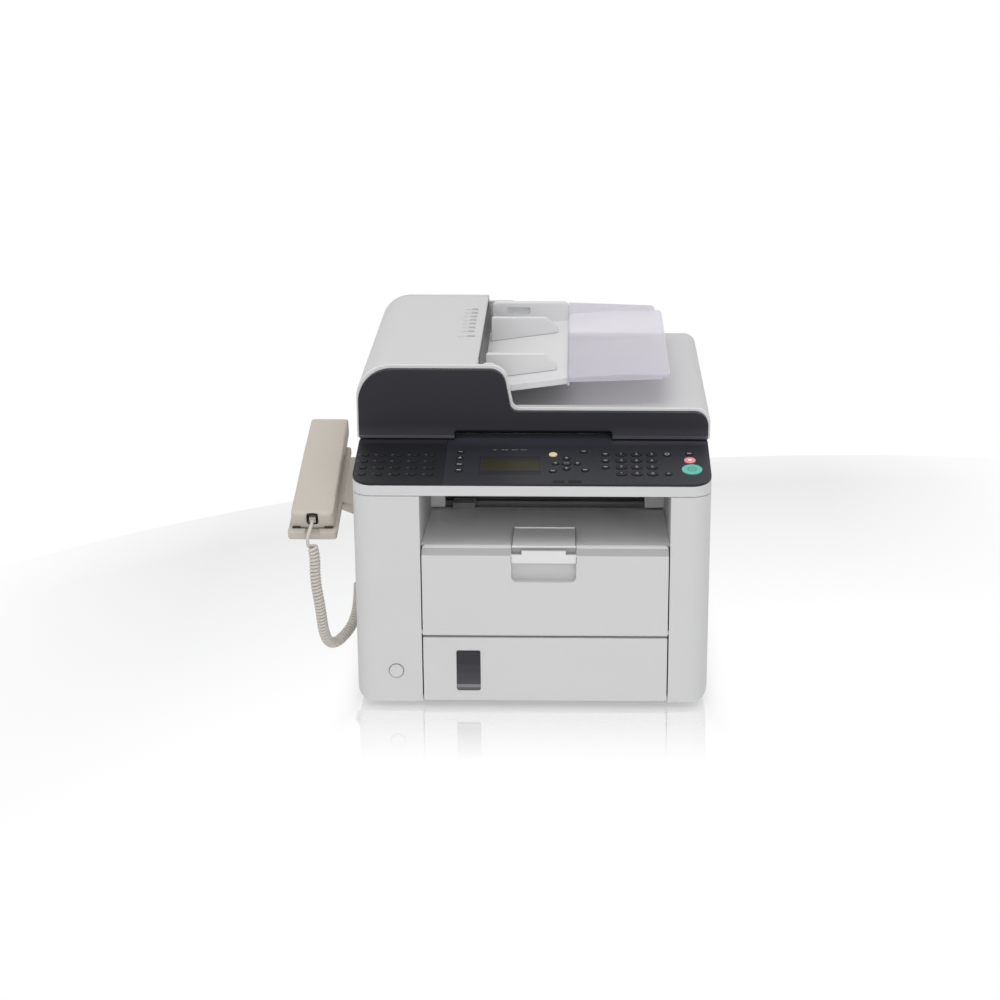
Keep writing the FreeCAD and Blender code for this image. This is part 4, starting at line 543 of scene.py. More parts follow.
    CORD = CordSkin("cord_plastic", (206, 201, 194))
    PICKUP = Roller("pickup_rubber", "x", "pickup_roller", 0.006)
    FUSER = Roller("fuser_sleeve", "x", "fuser_roller", 0.007, (120, 70, 50))
    # Steel darkened as painted shade, so the shaft shows no glint deep in the exit.
    DELIVERY = Roller("delivery_rubber", "x", "delivery_roller", 0.005, steel_shade_factor=0.12)
    FEED = Roller("feed_rubber", "y", "adf_roller", 0.005)

    def material(self) -> bpy.types.Material:
        """The finish's material, built once."""
        return bpy.data.materials.get(self.value.name) or self.value.make()


class Spread:
    """Geometry node tree that repeats a small form in rows and columns."""

    KINDS = {"Template": "Object", "Columns": "Int", "Rows": "Int", "Pitch X": "Float",
             "Pitch Y": "Float", "Finish": "Material"}

    def __init__(self) -> None:
        """Build the tree once."""
        self.tree = bpy.data.node_groups.new("spread", "GeometryNodeTree")
        face = self.tree.interface
        for name, kind in self.KINDS.items():
            face.new_socket(name=name, in_out="INPUT", socket_type="NodeSocket" + kind)
        face.new_socket(name="Geometry", in_out="OUTPUT", socket_type="NodeSocketGeometry")
        given = self.tree.nodes.new("NodeGroupInput").outputs
        row = self.line(given["Columns"], "X", given["Pitch X"])
        column = self.line(given["Rows"], "Y", given["Pitch Y"])
        grid = self.node("RealizeInstances", Geometry=self.node(
            "InstanceOnPoints", Points=row, Instance=column))
        form = self.node("ObjectInfo", Object=given["Template"], out="Geometry")
        spread = self.node("RealizeInstances", Geometry=self.node(
            "InstanceOnPoints", Points=grid, Instance=form))
        dressed = self.node("SetMaterial", Geometry=spread, Material=given["Finish"])
        self.tree.links.new(dressed, self.tree.nodes.new("NodeGroupOutput").inputs["Geometry"])

    def node(self, kind: str, out: int | str = 0,
             **links: bpy.types.NodeSocket) -> bpy.types.NodeSocket:
        """Add a geometry node.

        Args:
            kind: Name of the node type.
            out: Output that is returned.
            links: Sockets that feed it, by input name.

        Returns:
            The chosen output.
        """
        made = self.tree.nodes.new("GeometryNode" + kind)
        for name, socket in links.items():
            self.tree.links.new(socket, made.inputs[name])
        return made.outputs[out]

    def line(self, count: bpy.types.NodeSocket, axis: str,
             pitch: bpy.types.NodeSocket) -> bpy.types.NodeSocket:
        """Add a row of points along an axis.

        Args:
            count: Number of points.
            axis: Axis of the row.
            pitch: Distance between points.

        Returns:
            The row.
        """
        step = self.tree.nodes.new("ShaderNodeCombineXYZ")
        self.tree.links.new(pitch, step.inputs[axis])
        return self.node("MeshLine", Count=count, Offset=step.outputs[0])

    def run(self, form: bpy.types.Mesh, columns: int, rows: int, pitch: Spot) -> bpy.types.Mesh:
        """Repeat a form.

        Args:
            form: Mesh of one form.
            columns: Number of columns.
            rows: Number of rows.
            pitch: Distance between columns and between rows.

        Returns:
            One mesh of all the copies.
        """
        template = put("template", form)
        holder = put("spread", bpy.data.meshes.new("spread"))
        modifier = holder.modifiers.new("spread", "NODES")
        modifier.node_group = self.tree
        values = {"Template": template, "Columns": columns, "Rows": rows, "Pitch X": pitch[0],
                  "Pitch Y": pitch[1], "Finish": Finish.GREY.material()}
        for item in self.tree.interface.items_tree:
            if item.in_out == "INPUT":
                modifier[item.identifier] = values[item.name]
        flat = plain_mesh(holder)
        bpy.data.objects.remove(template)
        bpy.data.meshes.remove(form)
        return flat


SPREAD = Spread()
# Sides of a round form, and of a small one.
SIDES, FEW_SIDES = 40, 24
# Distance in millimetres at which the corners of a form merge.
WELD = 1e-4
# Thickness of the print on keys and panel, in millimetres.
PRINT_HEIGHT = 0.06


class Solid:
    """Mesh that grows by simple forms, in millimetres of one frame."""

    def __init__(self, base: Matrix = MACHINE) -> None:
        """Start empty in a frame."""
        self.base = base
        self.mesh = bmesh.new()

    def prism(self, outline: Iterable[Spot], low: float, high: float,
              soft: float = 0.0) -> "Solid":
        """Raise an outline.

        Args:
            outline: Corners in the frame's first two axes, anticlockwise.
            low: Lower level on the third axis.
            high: Upper level on the third axis.
            soft: Rounding of the upper rim.

        Returns:
            The same solid.
        """
        corners = list(outline)
        floor = [self.mesh.verts.new((x, y, low)) for x, y in corners]
        top = [self.mesh.verts.new((x, y, high)) for x, y in corners]
        faces = [self.mesh.faces.new(floor[::-1]), self.mesh.faces.new(top)]
        for index, corner in enumerate(floor):
            after = (index + 1) % len(floor)
            faces.append(self.mesh.faces.new((corner, floor[after], top[after], top[index])))
        if soft:
            bmesh.ops.bevel(self.mesh, geom=list(faces[1].edges), offset=soft, segments=3,
                            profile=0.5, affect="EDGES", offset_type="OFFSET")
        return self

    def block(self, low: Point, high: Point, soft: float = 0.0) -> "Solid":
        """Add a block between two corners, with a rounded upper rim."""
        return self.prism(oblong(low, high), low[2], high[2], soft)

    def disc(self, middle: Spot, radius: float, low: float, high: float, soft: float = 0.0,
             sides: int = SIDES) -> "Solid":
        """Add a round plate with a rounded upper rim."""
        return self.prism(circle(middle, radius, sides), low, high, soft)

    def ring(self, middle: Spot, inner: float, outer: float, low: float,
             high: float) -> "Solid":
        """Add a flat ring between two radii."""
        return self.band(circle(middle, inner), circle(middle, outer), low, high)

    def band(self, inner: Sequence[Spot], outer: Sequence[Spot], low: float,
             high: float) -> "Solid":
        """Add a closed band between two outlines.

        Args:
            inner: Corners of the inner outline, anticlockwise.
            outer: As many corners of the outer outline.
            low: Lower level.
            high: Upper level.

        Returns:
            The same solid.
        """
        for index, corner in enumerate(inner):
            after = (index + 1) % len(inner)
            self.prism((corner, outer[index], outer[after], inner[after]), low, high)
        return self.weld()

    def arrow(self, middle: Spot, size: float, turn: float, level: float) -> "Solid":
        """Add a printed triangle that points along an angle in degrees."""
        tips = [math.radians(turn) + step * math.tau / 3 for step in range(3)]
        return self.prism([ray(middle, size, tip) for tip in tips], level - PRINT_HEIGHT, level)

    def dash(self, middle: Spot, wide: float, tall: float, level: float) -> "Solid":
        """Add a printed dash around a middle."""
        return self.block((middle[0] - wide / 2, middle[1] - tall / 2, level - PRINT_HEIGHT),
                          (middle[0] + wide / 2, middle[1] + tall / 2, level))

    def edging(self, low: Spot, high: Spot, width: float, levels: Spot) -> "Solid":
        """Add a frame of four bars around an opening."""
        return self.band(oblong(low, high), oblong(low, high, width), *levels)

    def screw(self, middle: Spot, level: float, radius: float = 3.0) -> "Solid":
        """Add the head of a screw with a cross.

        Args:
            middle: Centre.
            level: Level of the face that it sits on.
            radius: Radius of the head.

        Returns:
            The same solid.
        """
        rim, top, gap = level + 0.6, level + 1.2, radius * 0.13
        self.disc(middle, radius, level - 0.2, rim, 0.0, FEW_SIDES)
        lean = math.asin(gap / radius)
        for quarter in range(4):
            start = quarter * math.pi / 2
            arc = [start + lean + step * (math.pi / 2 - 2 * lean) / 6 for step in range(7)]
            corner = ray(middle, gap * math.sqrt(2), start + math.pi / 4)
            self.prism([corner] + [ray(middle, radius, turn) for turn in arc], rim, top, 0.25)
        return self

    def words(self, text: str, middle: Spot, size: float, level: float) -> "Solid":
        """Add printed characters.

        Args:
            text: Numerals or a short word.
            middle: Centre of the text.
            size: Height of the type.
            level: Height of the print's upper face.

        Returns:
            The same solid.
        """
        curve = bpy.data.curves.new("numeral", "FONT")
        curve.body = text
        curve.size = size
        curve.align_x = "CENTER"
        curve.align_y = "CENTER"
        curve.extrude = PRINT_HEIGHT / 2
        curve.resolution_u = 3
        flat = plain_mesh(put("numeral", curve))
        flat.transform(Matrix.Translation((*middle, level - PRINT_HEIGHT / 2)))
        self.mesh.from_mesh(flat)
        bpy.data.meshes.remove(flat)
        return self

    def weld(self) -> "Solid":
        """Merge corners that meet and take away the faces inside a form.

        Returns:
            The same solid.
        """
        bmesh.ops.remove_doubles(self.mesh, verts=self.mesh.verts, dist=WELD)
        twins: dict[frozenset, list] = {}
        for face in self.mesh.faces:
            twins.setdefault(frozenset(face.verts), []).append(face)
        inner = [face for pair in twins.values() if len(pair) > 1 for face in pair]
        bmesh.ops.delete(self.mesh, geom=inner, context="FACES_ONLY")
        return self

    def spread(self, columns: int, rows: int, pitch: Spot) -> "Solid":
        """Repeat all that is drawn so far.

        Args:
            columns: Number of columns along the first axis.
            rows: Number of rows along the second axis.
            pitch: Distance between columns and between rows.

        Returns:
            The same solid.
        """
        form = bpy.data.meshes.new("form")
        self.mesh.to_mesh(form)
        copies = SPREAD.run(form, columns, rows, pitch)
        self.mesh.clear()
        self.mesh.from_mesh(copies)
        bpy.data.meshes.remove(copies)
        return self

    def finish(self, name: str, finish: Finish, body: str,
               slot: str | None = None) -> bpy.types.Object:
        """Turn the solid into a piece that rides on a body.

        Args:
            name: Name of the piece.
            finish: Its finish.
            body: Body that carries it.
            slot: Material slot of the record, if it has one; not used.

        Returns:
            The piece.
        """
        mesh = bpy.data.meshes.new(name)
        self.mesh.to_mesh(mesh)
        self.mesh.free()
        mesh.transform(self.base)
        return piece(name, mesh, finish, body)


def ray(middle: Spot, reach: float, angle: float) -> Spot:
    """Place at a distance and an angle from a middle."""
    return (middle[0] + reach * math.cos(angle), middle[1] + reach * math.sin(angle))


def circle(middle: Spot, radius: float, sides: int = SIDES) -> list[Spot]:
    """Corners of a regular outline, anticlockwise."""
    return [ray(middle, radius, math.tau * index / sides) for index in range(sides)]


def oblong(low: Sequence[float], high: Sequence[float], grow: float = 0.0) -> list[Spot]:
    """Corners of a rectangle that is grown on all sides, anticlockwise."""
    left, bottom, right, top = low[0] - grow, low[1] - grow, high[0] + grow, high[1] + grow
    return [(left, bottom), (right, bottom), (right, top), (left, top)]


def put(name: str, data: bpy.types.ID) -> bpy.types.Object:
    """Make an object and stand it in the scene.

    Args:
        name: Name of the object.
        data: Mesh, curve, light or camera that it shows.

    Returns:
        The object.
    """
    made = bpy.data.objects.new(name, data)
    bpy.context.scene.collection.objects.link(made)
    return made


def plain_mesh(source: bpy.types.Object) -> bpy.types.Mesh:
    """Turn an object with its modifiers into a mesh.

    Args:
        source: Object that is used up, with its data.

    Returns:
        The mesh that the object showed.
    """
    bpy.context.view_layer.update()
    shown = source.evaluated_get(bpy.context.evaluated_depsgraph_get())
    flat = bpy.data.meshes.new_from_object(shown)
    data = source.data
    bpy.data.objects.remove(source)
    bpy.data.batch_remove((data,))
    return flat


def shaded(mesh: bpy.types.Mesh, sharp: float) -> bpy.types.Mesh:
    """Shade a mesh smoothly, with each flat face kept flat beside its rounded edges.

    Args:
        mesh: Mesh that is used up.
        sharp: Angle in degrees from which an edge stays sharp.

    Returns:
        The shaded mesh.
    """
    mesh.shade_smooth()
    mesh.set_sharp_from_angle(angle=math.radians(sharp))
    holder = put("shading", mesh)
    modifier = holder.modifiers.new("shading", "WEIGHTED_NORMAL")
    modifier.keep_sharp = True
    return plain_mesh(holder)


def piece(name: str, mesh: bpy.types.Mesh, finish: Finish, body: str,
          sharp: float = 35.0) -> bpy.types.Object:
    """Make a finished piece that rides on a body.

    Args:
        name: Name of the piece.
        mesh: Its mesh in the shared frame.
        finish: Its finish.
        body: Body that carries it.
        sharp: Angle in degrees from which an edge stays sharp.

    Returns:
        The piece.
    """
    mesh = shaded(mesh, sharp)
    mesh.name = name
    mesh.materials.clear()
    mesh.materials.append(finish.material())
    made = put(name, mesh)
    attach(made, body)
    LOG.info("%s rides on %s", name, body)
    return made


def paint(node: str, finish: Finish) -> None:
    """Give a solid of the frame its finish.

    Args:
        node: Name of the solid.
        finish: Its finish.
    """
    mesh = NODES[node].data
    mesh.materials.clear()
    mesh.materials.append(finish.material())
    LOG.info("%s is painted", node)


# Angles in degrees: faces that meet below the first are one, edges above the second are rounded.
FLAT_ANGLE, EDGE_ANGLE = 0.3, 32.0
# Distances in metres at which corners merge and a plane takes up a corner.
MERGE, TOUCH = 2e-6, 1e-6


def soften(node: str, finish: Finish, width: float, segments: int = 2,
           cuts: Sequence[Cut] = ()) -> bpy.types.Object:
    """Replace a solid by a copy whose sharp edges are rounded.

    Args:
        node: Name of the solid.
        finish: Its finish.
        width: Width of the rounding in millimetres.
        segments: Steps of the rounding.
        cuts: Planes that split flat faces through their openings.

    Returns:
        The new piece.
    """
    work = bmesh.new()
    work.from_mesh(NODES[node].data)
    bmesh.ops.remove_doubles(work, verts=work.verts, dist=MERGE)
    for axis, place in cuts:
        across = Vector([float(index == axis) for index in range(3)])
        split = bmesh.ops.bisect_plane(
            work, geom=[*work.verts, *work.edges, *work.faces], dist=TOUCH,
            plane_co=MACHINE @ (across * place), plane_no=across)
        for part in split["geom_cut"]:
            if isinstance(part, bmesh.types.BMEdge):
                part.seam = True
    bmesh.ops.dissolve_limit(work, angle_limit=math.radians(FLAT_ANGLE), verts=work.verts,
                             edges=work.edges, delimit={"SEAM"})
    limit = math.radians(EDGE_ANGLE)
    corners = [edge for edge in work.edges
               if len(edge.link_faces) == 2 and edge.calc_face_angle(0) > limit]
    bmesh.ops.bevel(work, geom=corners, offset=width / 1000, offset_type="OFFSET",
                    segments=segments, profile=0.5, affect="EDGES", clamp_overlap=True,
                    miter_outer="ARC")
    mesh = bpy.data.meshes.new(node + "_shell")
    work.to_mesh(mesh)
    work.free()
    made = piece(node + "_shell", mesh, finish, NODES[node]["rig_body"], 40)
    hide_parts(node)
    return made


def melt(node: str, finish: Finish, grid: float, rounds: int) -> bpy.types.Object:
    """Replace a solid by a copy whose edges all flow into each other.

    Args:
        node: Name of the solid.
        finish: Its finish.
        grid: Size of the copy's facets in millimetres.
        rounds: Rounds of smoothing.

    Returns:
        The new piece.
    """
    holder = put("melt", NODES[node].data.copy())
    facets = holder.modifiers.new("facets", "REMESH")
    facets.mode = "VOXEL"
    facets.voxel_size = grid / 1000
    smooth = holder.modifiers.new("smooth", "SMOOTH")
    smooth.iterations = rounds
    mesh = plain_mesh(holder)
    made = piece(node + "_shell", mesh, finish, NODES[node]["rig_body"], 80)
    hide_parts(node)
    return made


@dataclass
class Stage:
    """Floor, light and camera of a plain studio."""

    focus: Point = (0.05346, 0.0, 0.24065)
    azimuth: float = 0.765
    elevation: float = 17.7535
    distance: float = 2.4618
    shift: Spot = (-0.05, -0.06)
    focal_pixels: float = 2100.0
    frame_pixels: float = 1000.0
    sensor: float = 36.0
    ambient: float = 0.5
    body_middle: Spot = (0.0365, -0.0125)
    body_half: Spot = (0.194, 0.205)
    shade: float = 0.42
    shade_reach: float = 0.09
    shade_sides: float = 3.0
    mirror: float = 0.3
    mirror_end: float = 0.35
    mirror_reach: float = 0.09
    mirror_edge: float = 0.005
    mirror_blur: float = 0.04
    grey: tuple[float, ...] = (0.83, 0.83, 0.835, 1)
    curve: Spot = (0.517, -1.006)
    curve_radius: float = 1.689
    sweep_rise: float = 3.3
    sweep_start: float = 0.6
    sweep_fall: float = 2.1
    sweep_depth: float = 0.6
    sweep_middle: float = 0.03
    sweep_half: float = 0.72
    floor_half: float = 30.0
    lamps: tuple[tuple[str, Point, float, float], ...] = (
        ("top_light", (0.1, -0.35, 2.3), 2.2, 20), ("front_light", (0.4, -2.7, 0.95), 1.8, 16),
        ("left_light", (-2.2, -0.9, 1.4), 1.4, 6))

    def build(self) -> None:
        """Make the whole studio."""
        self.camera()
        self.floor()
        self.world()
        for lamp in self.lamps:
            self.lamp(*lamp)
        bpy.context.scene.view_settings.view_transform = "Standard"

    def camera(self) -> None:
        """Stand the camera where the photograph was taken from."""
        turn, lift = math.radians(self.azimuth), math.radians(self.elevation)
        back = Vector((math.sin(turn) * math.cos(lift), -math.cos(turn) * math.cos(lift),
                       math.sin(lift)))
        lens = bpy.data.cameras.new("camera")
        lens.sensor_width = self.sensor
        lens.lens = self.focal_pixels / self.frame_pixels * self.sensor
        lens.shift_x, lens.shift_y = self.shift
        lens.clip_end = 50
        holder = put("camera", lens)
        holder.location = Vector(self.focus) + back * self.distance
        holder.rotation_euler = (-back).to_track_quat("-Z", "Y").to_euler()
        bpy.context.scene.camera = holder

    def lamp(self, name: str, place: Point, size: float, power: float) -> None:
        """Hang a square soft light that looks at the machine.

        Args:
            name: Name of the light.
            place: Its place in metres.
            size: Width of the light in metres.
            power: Power in watts.
        """
        light = bpy.data.lights.new(name, "AREA")
        light.size = size
        light.energy = power
        holder = put(name, light)
        holder.location = place
        aim = Vector(self.focus) - Vector(place)
        holder.rotation_euler = aim.to_track_quat("-Z", "Y").to_euler()

    def floor(self) -> None:
        """Lay a pale floor that shows white, keeps the shadow and mirrors the front."""
        shader = Shader("floor_paper")
        across, back, _ = shader.axes()
        shader.dress(Base_Color=(0.9, 0.9, 0.9, 1), Roughness=0.5 + shader.noise(40) * 0.02)
        aside, behind = [half - (spot - middle).maths("ABSOLUTE") for spot, middle, half in zip(
            (across, back), self.body_middle, self.body_half)]
        near = (aside * self.shade_sides).maths("MINIMUM", behind) * (1 / self.shade_reach) + 1.0
        near = near.clamped()
        glow = shader.node("ShaderNodeEmission", {}, {
            "Color": shader.mix(self.sweep(across, back), WHITE, self.grey),
            "Strength": 1.0})
        paper = shader.node("ShaderNodeMixShader", {}, {
            0: self.seen(shader) * (1 - near * near * self.shade),
            1: Wire(shader, shader.surface.outputs[0]), 2: glow})
        mirror = shader.node("ShaderNodeBsdfAnisotropic", {}, {
            "Color": WHITE, "Roughness": self.mirror_blur})
        fade = (back + self.mirror_end) * (1 / self.mirror_reach)
        fade = fade.maths("MINIMUM", aside * (1 / self.mirror_edge)).clamped()
        both = shader.node("ShaderNodeMixShader", {}, {
            0: fade * self.mirror, 1: paper, 2: mirror})
        shader.feed(shader.tree.nodes["Material Output"].inputs["Surface"], both)
        mesh = bpy.data.meshes.new("floor")
        corners = oblong((0, 0), (0, 0), self.floor_half)
        mesh.from_pydata([(*corner, 0) for corner in corners], [], [(0, 1, 2, 3)])
        mesh.materials.append(shader.material)
        floor = put("floor", mesh)

    def sweep(self, across: Wire, back: Wire) -> Wire:
        """Pale grey that fades forward from the curved end of the floor.

        Args:
            across: Place along the first axis.
            back: Place along the second axis.

        Returns:
            Amount of grey from 0 to 1.
        """
        first, second = across - self.curve[0], back - self.curve[1]
        inside = self.curve_radius - (first * first + second * second).maths("SQRT")
        rise = inside * self.sweep_rise + self.sweep_start
        fall = (self.sweep_depth - inside) * self.sweep_fall
        grey = rise.maths("MINIMUM", fall).maths("MAXIMUM", 0.0) * (inside > 0.0)
        aside = self.sweep_half - (across - self.sweep_middle).maths("ABSOLUTE")
        return grey * (aside * self.sweep_rise).clamped()

    @staticmethod
    def seen(nodes: Nodes) -> Wire:
        """One for rays that show the background.

        Args:
            nodes: Tree that asks.

        Returns:
            Sum of camera, glossy and transmission rays, at most one.
        """
        rays = nodes.node("ShaderNodeLightPath").socket.node.outputs
        seen = sum((Wire(nodes, rays[name]) for name in
                    ("Is Glossy Ray", "Is Transmission Ray")), Wire(nodes, rays["Is Camera Ray"]))
        return seen.maths("MINIMUM", 1.0)

    def world(self) -> None:
        """Set a white surround that lights the machine softly."""
        world = bpy.data.worlds.new("studio")
        world.use_nodes = True
        bpy.context.scene.world = world
        nodes = Nodes(world.node_tree)
        ground = nodes.tree.nodes["Background"]
        ground.inputs["Color"].default_value = WHITE
        strength = self.seen(nodes) * (1 - self.ambient) + self.ambient
        nodes.feed(ground.inputs["Strength"], strength)


@dataclass
class CurlyCord:
    """Coiled cord from the handset's socket to the jack on the left side."""

    route: list[Point] = field(default_factory=lambda: [
        (-0.2065, -0.1685, 0.2004), (-0.2065, -0.1835, 0.1965), (-0.2065, -0.186, 0.1803),
        (-0.2025, -0.1865, 0.166), (-0.2035, -0.1885, 0.139), (-0.199, -0.1865, 0.106),
        (-0.1965, -0.1775, 0.064), (-0.1885, -0.1575, 0.047), (-0.1745, -0.1295, 0.052),
        (-0.1675, -0.1095, 0.0635), (-0.167, -0.0815, 0.08), (-0.1695, -0.0555, 0.102),
        (-0.1705, -0.0395, 0.116), (-0.1565, -0.0395, 0.116)])
    wire: float = 0.0038
    radius: float = 0.0043
    pitch: float = 0.004
    tail: float = 0.03
    lead: float = 0.05
    steps: int = 18
    tail_steps: int = 20
    lead_steps: int = 24
    bend_steps: int = 6
    bend_share: float = 0.9
    sides: int = 10

    def line(self) -> np.ndarray:
        """Points of the smooth middle line.

        Returns:
            Places in the shared frame, in metres.
        """
        curve = bpy.data.curves.new("cord_line", "CURVE")
        curve.dimensions = "3D"
        spline = curve.splines.new("NURBS")
        spline.points.add(len(self.route) - 1)
        for point, place in zip(spline.points, self.route):
            point.co = (*place, 1.0)
        spline.order_u = 3
        spline.use_endpoint_u = True
        spline.resolution_u = 96
        flat = plain_mesh(put("cord_line", curve))
        places = np.array([vertex.co for vertex in flat.vertices])
        bpy.data.meshes.remove(flat)
        return places

    def turns(self, length: float) -> list[tuple[float, float]]:
        """Run and angle of the coil, bent smoothly in and out of its ends.

        Args:
            length: Length of the coil along its middle line.

        Returns:
            Pairs of run and angle.
        """
        bend = self.radius * self.bend_share
        steep = math.atan2(2 * math.pi * self.radius, self.pitch)
        leans = [steep * step / self.bend_steps for step in range(self.bend_steps)]
        plan = [(bend * math.sin(lean), bend / self.radius * (1 - math.cos(lean)))
                for lean in leans]
        ease, swing = bend * math.sin(steep), bend / self.radius * (1 - math.cos(steep))
        turned = (length - 2 * ease) * math.tan(steep) / self.radius
        count = round(turned / (2 * math.pi) * self.steps)
        middle = [(ease + (length - 2 * ease) * step / count, swing + turned * step / count)
                  for step in range(count + 1)]
        return plan + middle + [(length - run, 2 * swing + turned - angle)
                                for run, angle in plan[::-1]]

    def path(self) -> list[Vector]:
        """Middle line of the wire itself.

        Returns:
            Places in the shared frame, in metres.
        """
        places = self.line()
        steps = np.linalg.norm(np.diff(places, axis=0), axis=1)
        runs = np.concatenate([[0], np.cumsum(steps)])
        total = runs[-1]
        ahead = np.gradient(places, runs, axis=0)
        side, sides = Vector((1, 0, 0)), []
        for course in ahead:
            course = Vector(course).normalized()
            side = (side - course * side.dot(course)).normalized()
            sides.append((*side, *course.cross(side)))
        sides = np.array(sides)

        def rise(share: float) -> float:
            """Share of the coil's radius at a place of a tail."""
            share = min(max(share * 1.2 - 0.2, 0.0), 1.0)
            return self.radius * share * share * (3 - 2 * share)

        last = total - self.lead
        plan = self.turns(last - self.tail)
        shares = [step / self.tail_steps for step in range(self.tail_steps)]
        spots = [(self.tail * share, 0.0, rise(share)) for share in shares]
        spots += [(self.tail + run, angle, self.radius) for run, angle in plan]
        shares = [(step + 1) / self.lead_steps for step in range(self.lead_steps)]
        spots += [(last + self.lead * share, plan[-1][1], rise(1 - share)) for share in shares]
        made = []
        for run, angle, lift in spots:
            middle = [np.interp(run, runs, places[:, axis]) for axis in range(3)]
            frame_axes = [np.interp(run, runs, sides[:, axis]) for axis in range(6)]
            first, second = Vector(frame_axes[:3]), Vector(frame_axes[3:])
            turn = math.pi + angle
            made.append(Vector(middle) + (first * math.cos(turn) + second * math.sin(turn)) * lift)
        return made

    def tube(self, path: Sequence[Vector]) -> bpy.types.Mesh:
        """Skin of the wire.

        Args:
            path: Middle line of the wire.

        Returns:
            Closed mesh.
        """
        work = bmesh.new()
        side, rings = Vector((0, 1, 0)), []
        for index, place in enumerate(path):
            course = path[min(index + 1, len(path) - 1)] - path[max(index - 1, 0)]
            course.normalize()
            side = (side - course * side.dot(course)).normalized()
            other = course.cross(side)
            rings.append([
                work.verts.new(place + (side * math.cos(turn) + other * math.sin(turn))
                               * self.wire / 2)
                for turn in (2 * math.pi * step / self.sides for step in range(self.sides))])
        for first, second in zip(rings, rings[1:]):
            for step in range(self.sides):
                after = (step + 1) % self.sides
                work.faces.new((first[step], first[after], second[after], second[step]))
        work.faces.new(rings[0][::-1])
        work.faces.new(rings[-1])
        mesh = bpy.data.meshes.new("curly_cord_coil")
        work.to_mesh(mesh)
        work.free()
        return mesh

    def plugs(self) -> list[bpy.types.Object]:
        """Modular plugs at both ends.

        Returns:
            The two plugs.
        """
        jack = Solid()
        jack.block((-194.6, 174.5, 112.5), (-183.5, 181.5, 119.5), 0.6)
        jack.block((-196.5, 176, 114.2), (-194.6, 180, 117.8), 0.4)
        wall = jack.finish("wall_plug", Finish.BEIGE, "main_unit", "handset_beige")
        cup = Solid(REST)
        cup.block((-3.5, 1.5, 7.5), (3.5, 12.5, 14.5), 0.6)
        cup.block((-2.4, -0.6, 9.2), (2.4, 1.5, 12.8), 0.4)
        ear = cup.finish("handset_plug", Finish.BEIGE, "handset", "handset_beige")
        return [wall, ear]

    def build(self) -> None:
        """Make the cord with its plugs."""
        plugs = self.plugs()
        path = self.path()
        mesh = self.tube(path)
        coil = put("curly_cord_coil", mesh)
        mesh.shade_smooth()
        mesh.materials.append(Finish.CORD.material())
        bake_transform(coil)
        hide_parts("curly_cord")
        length = sum((second - first).length for first, second in zip(path, path[1:]))
        LOG.info("curly_cord_coil: %.3f m of wire", length)


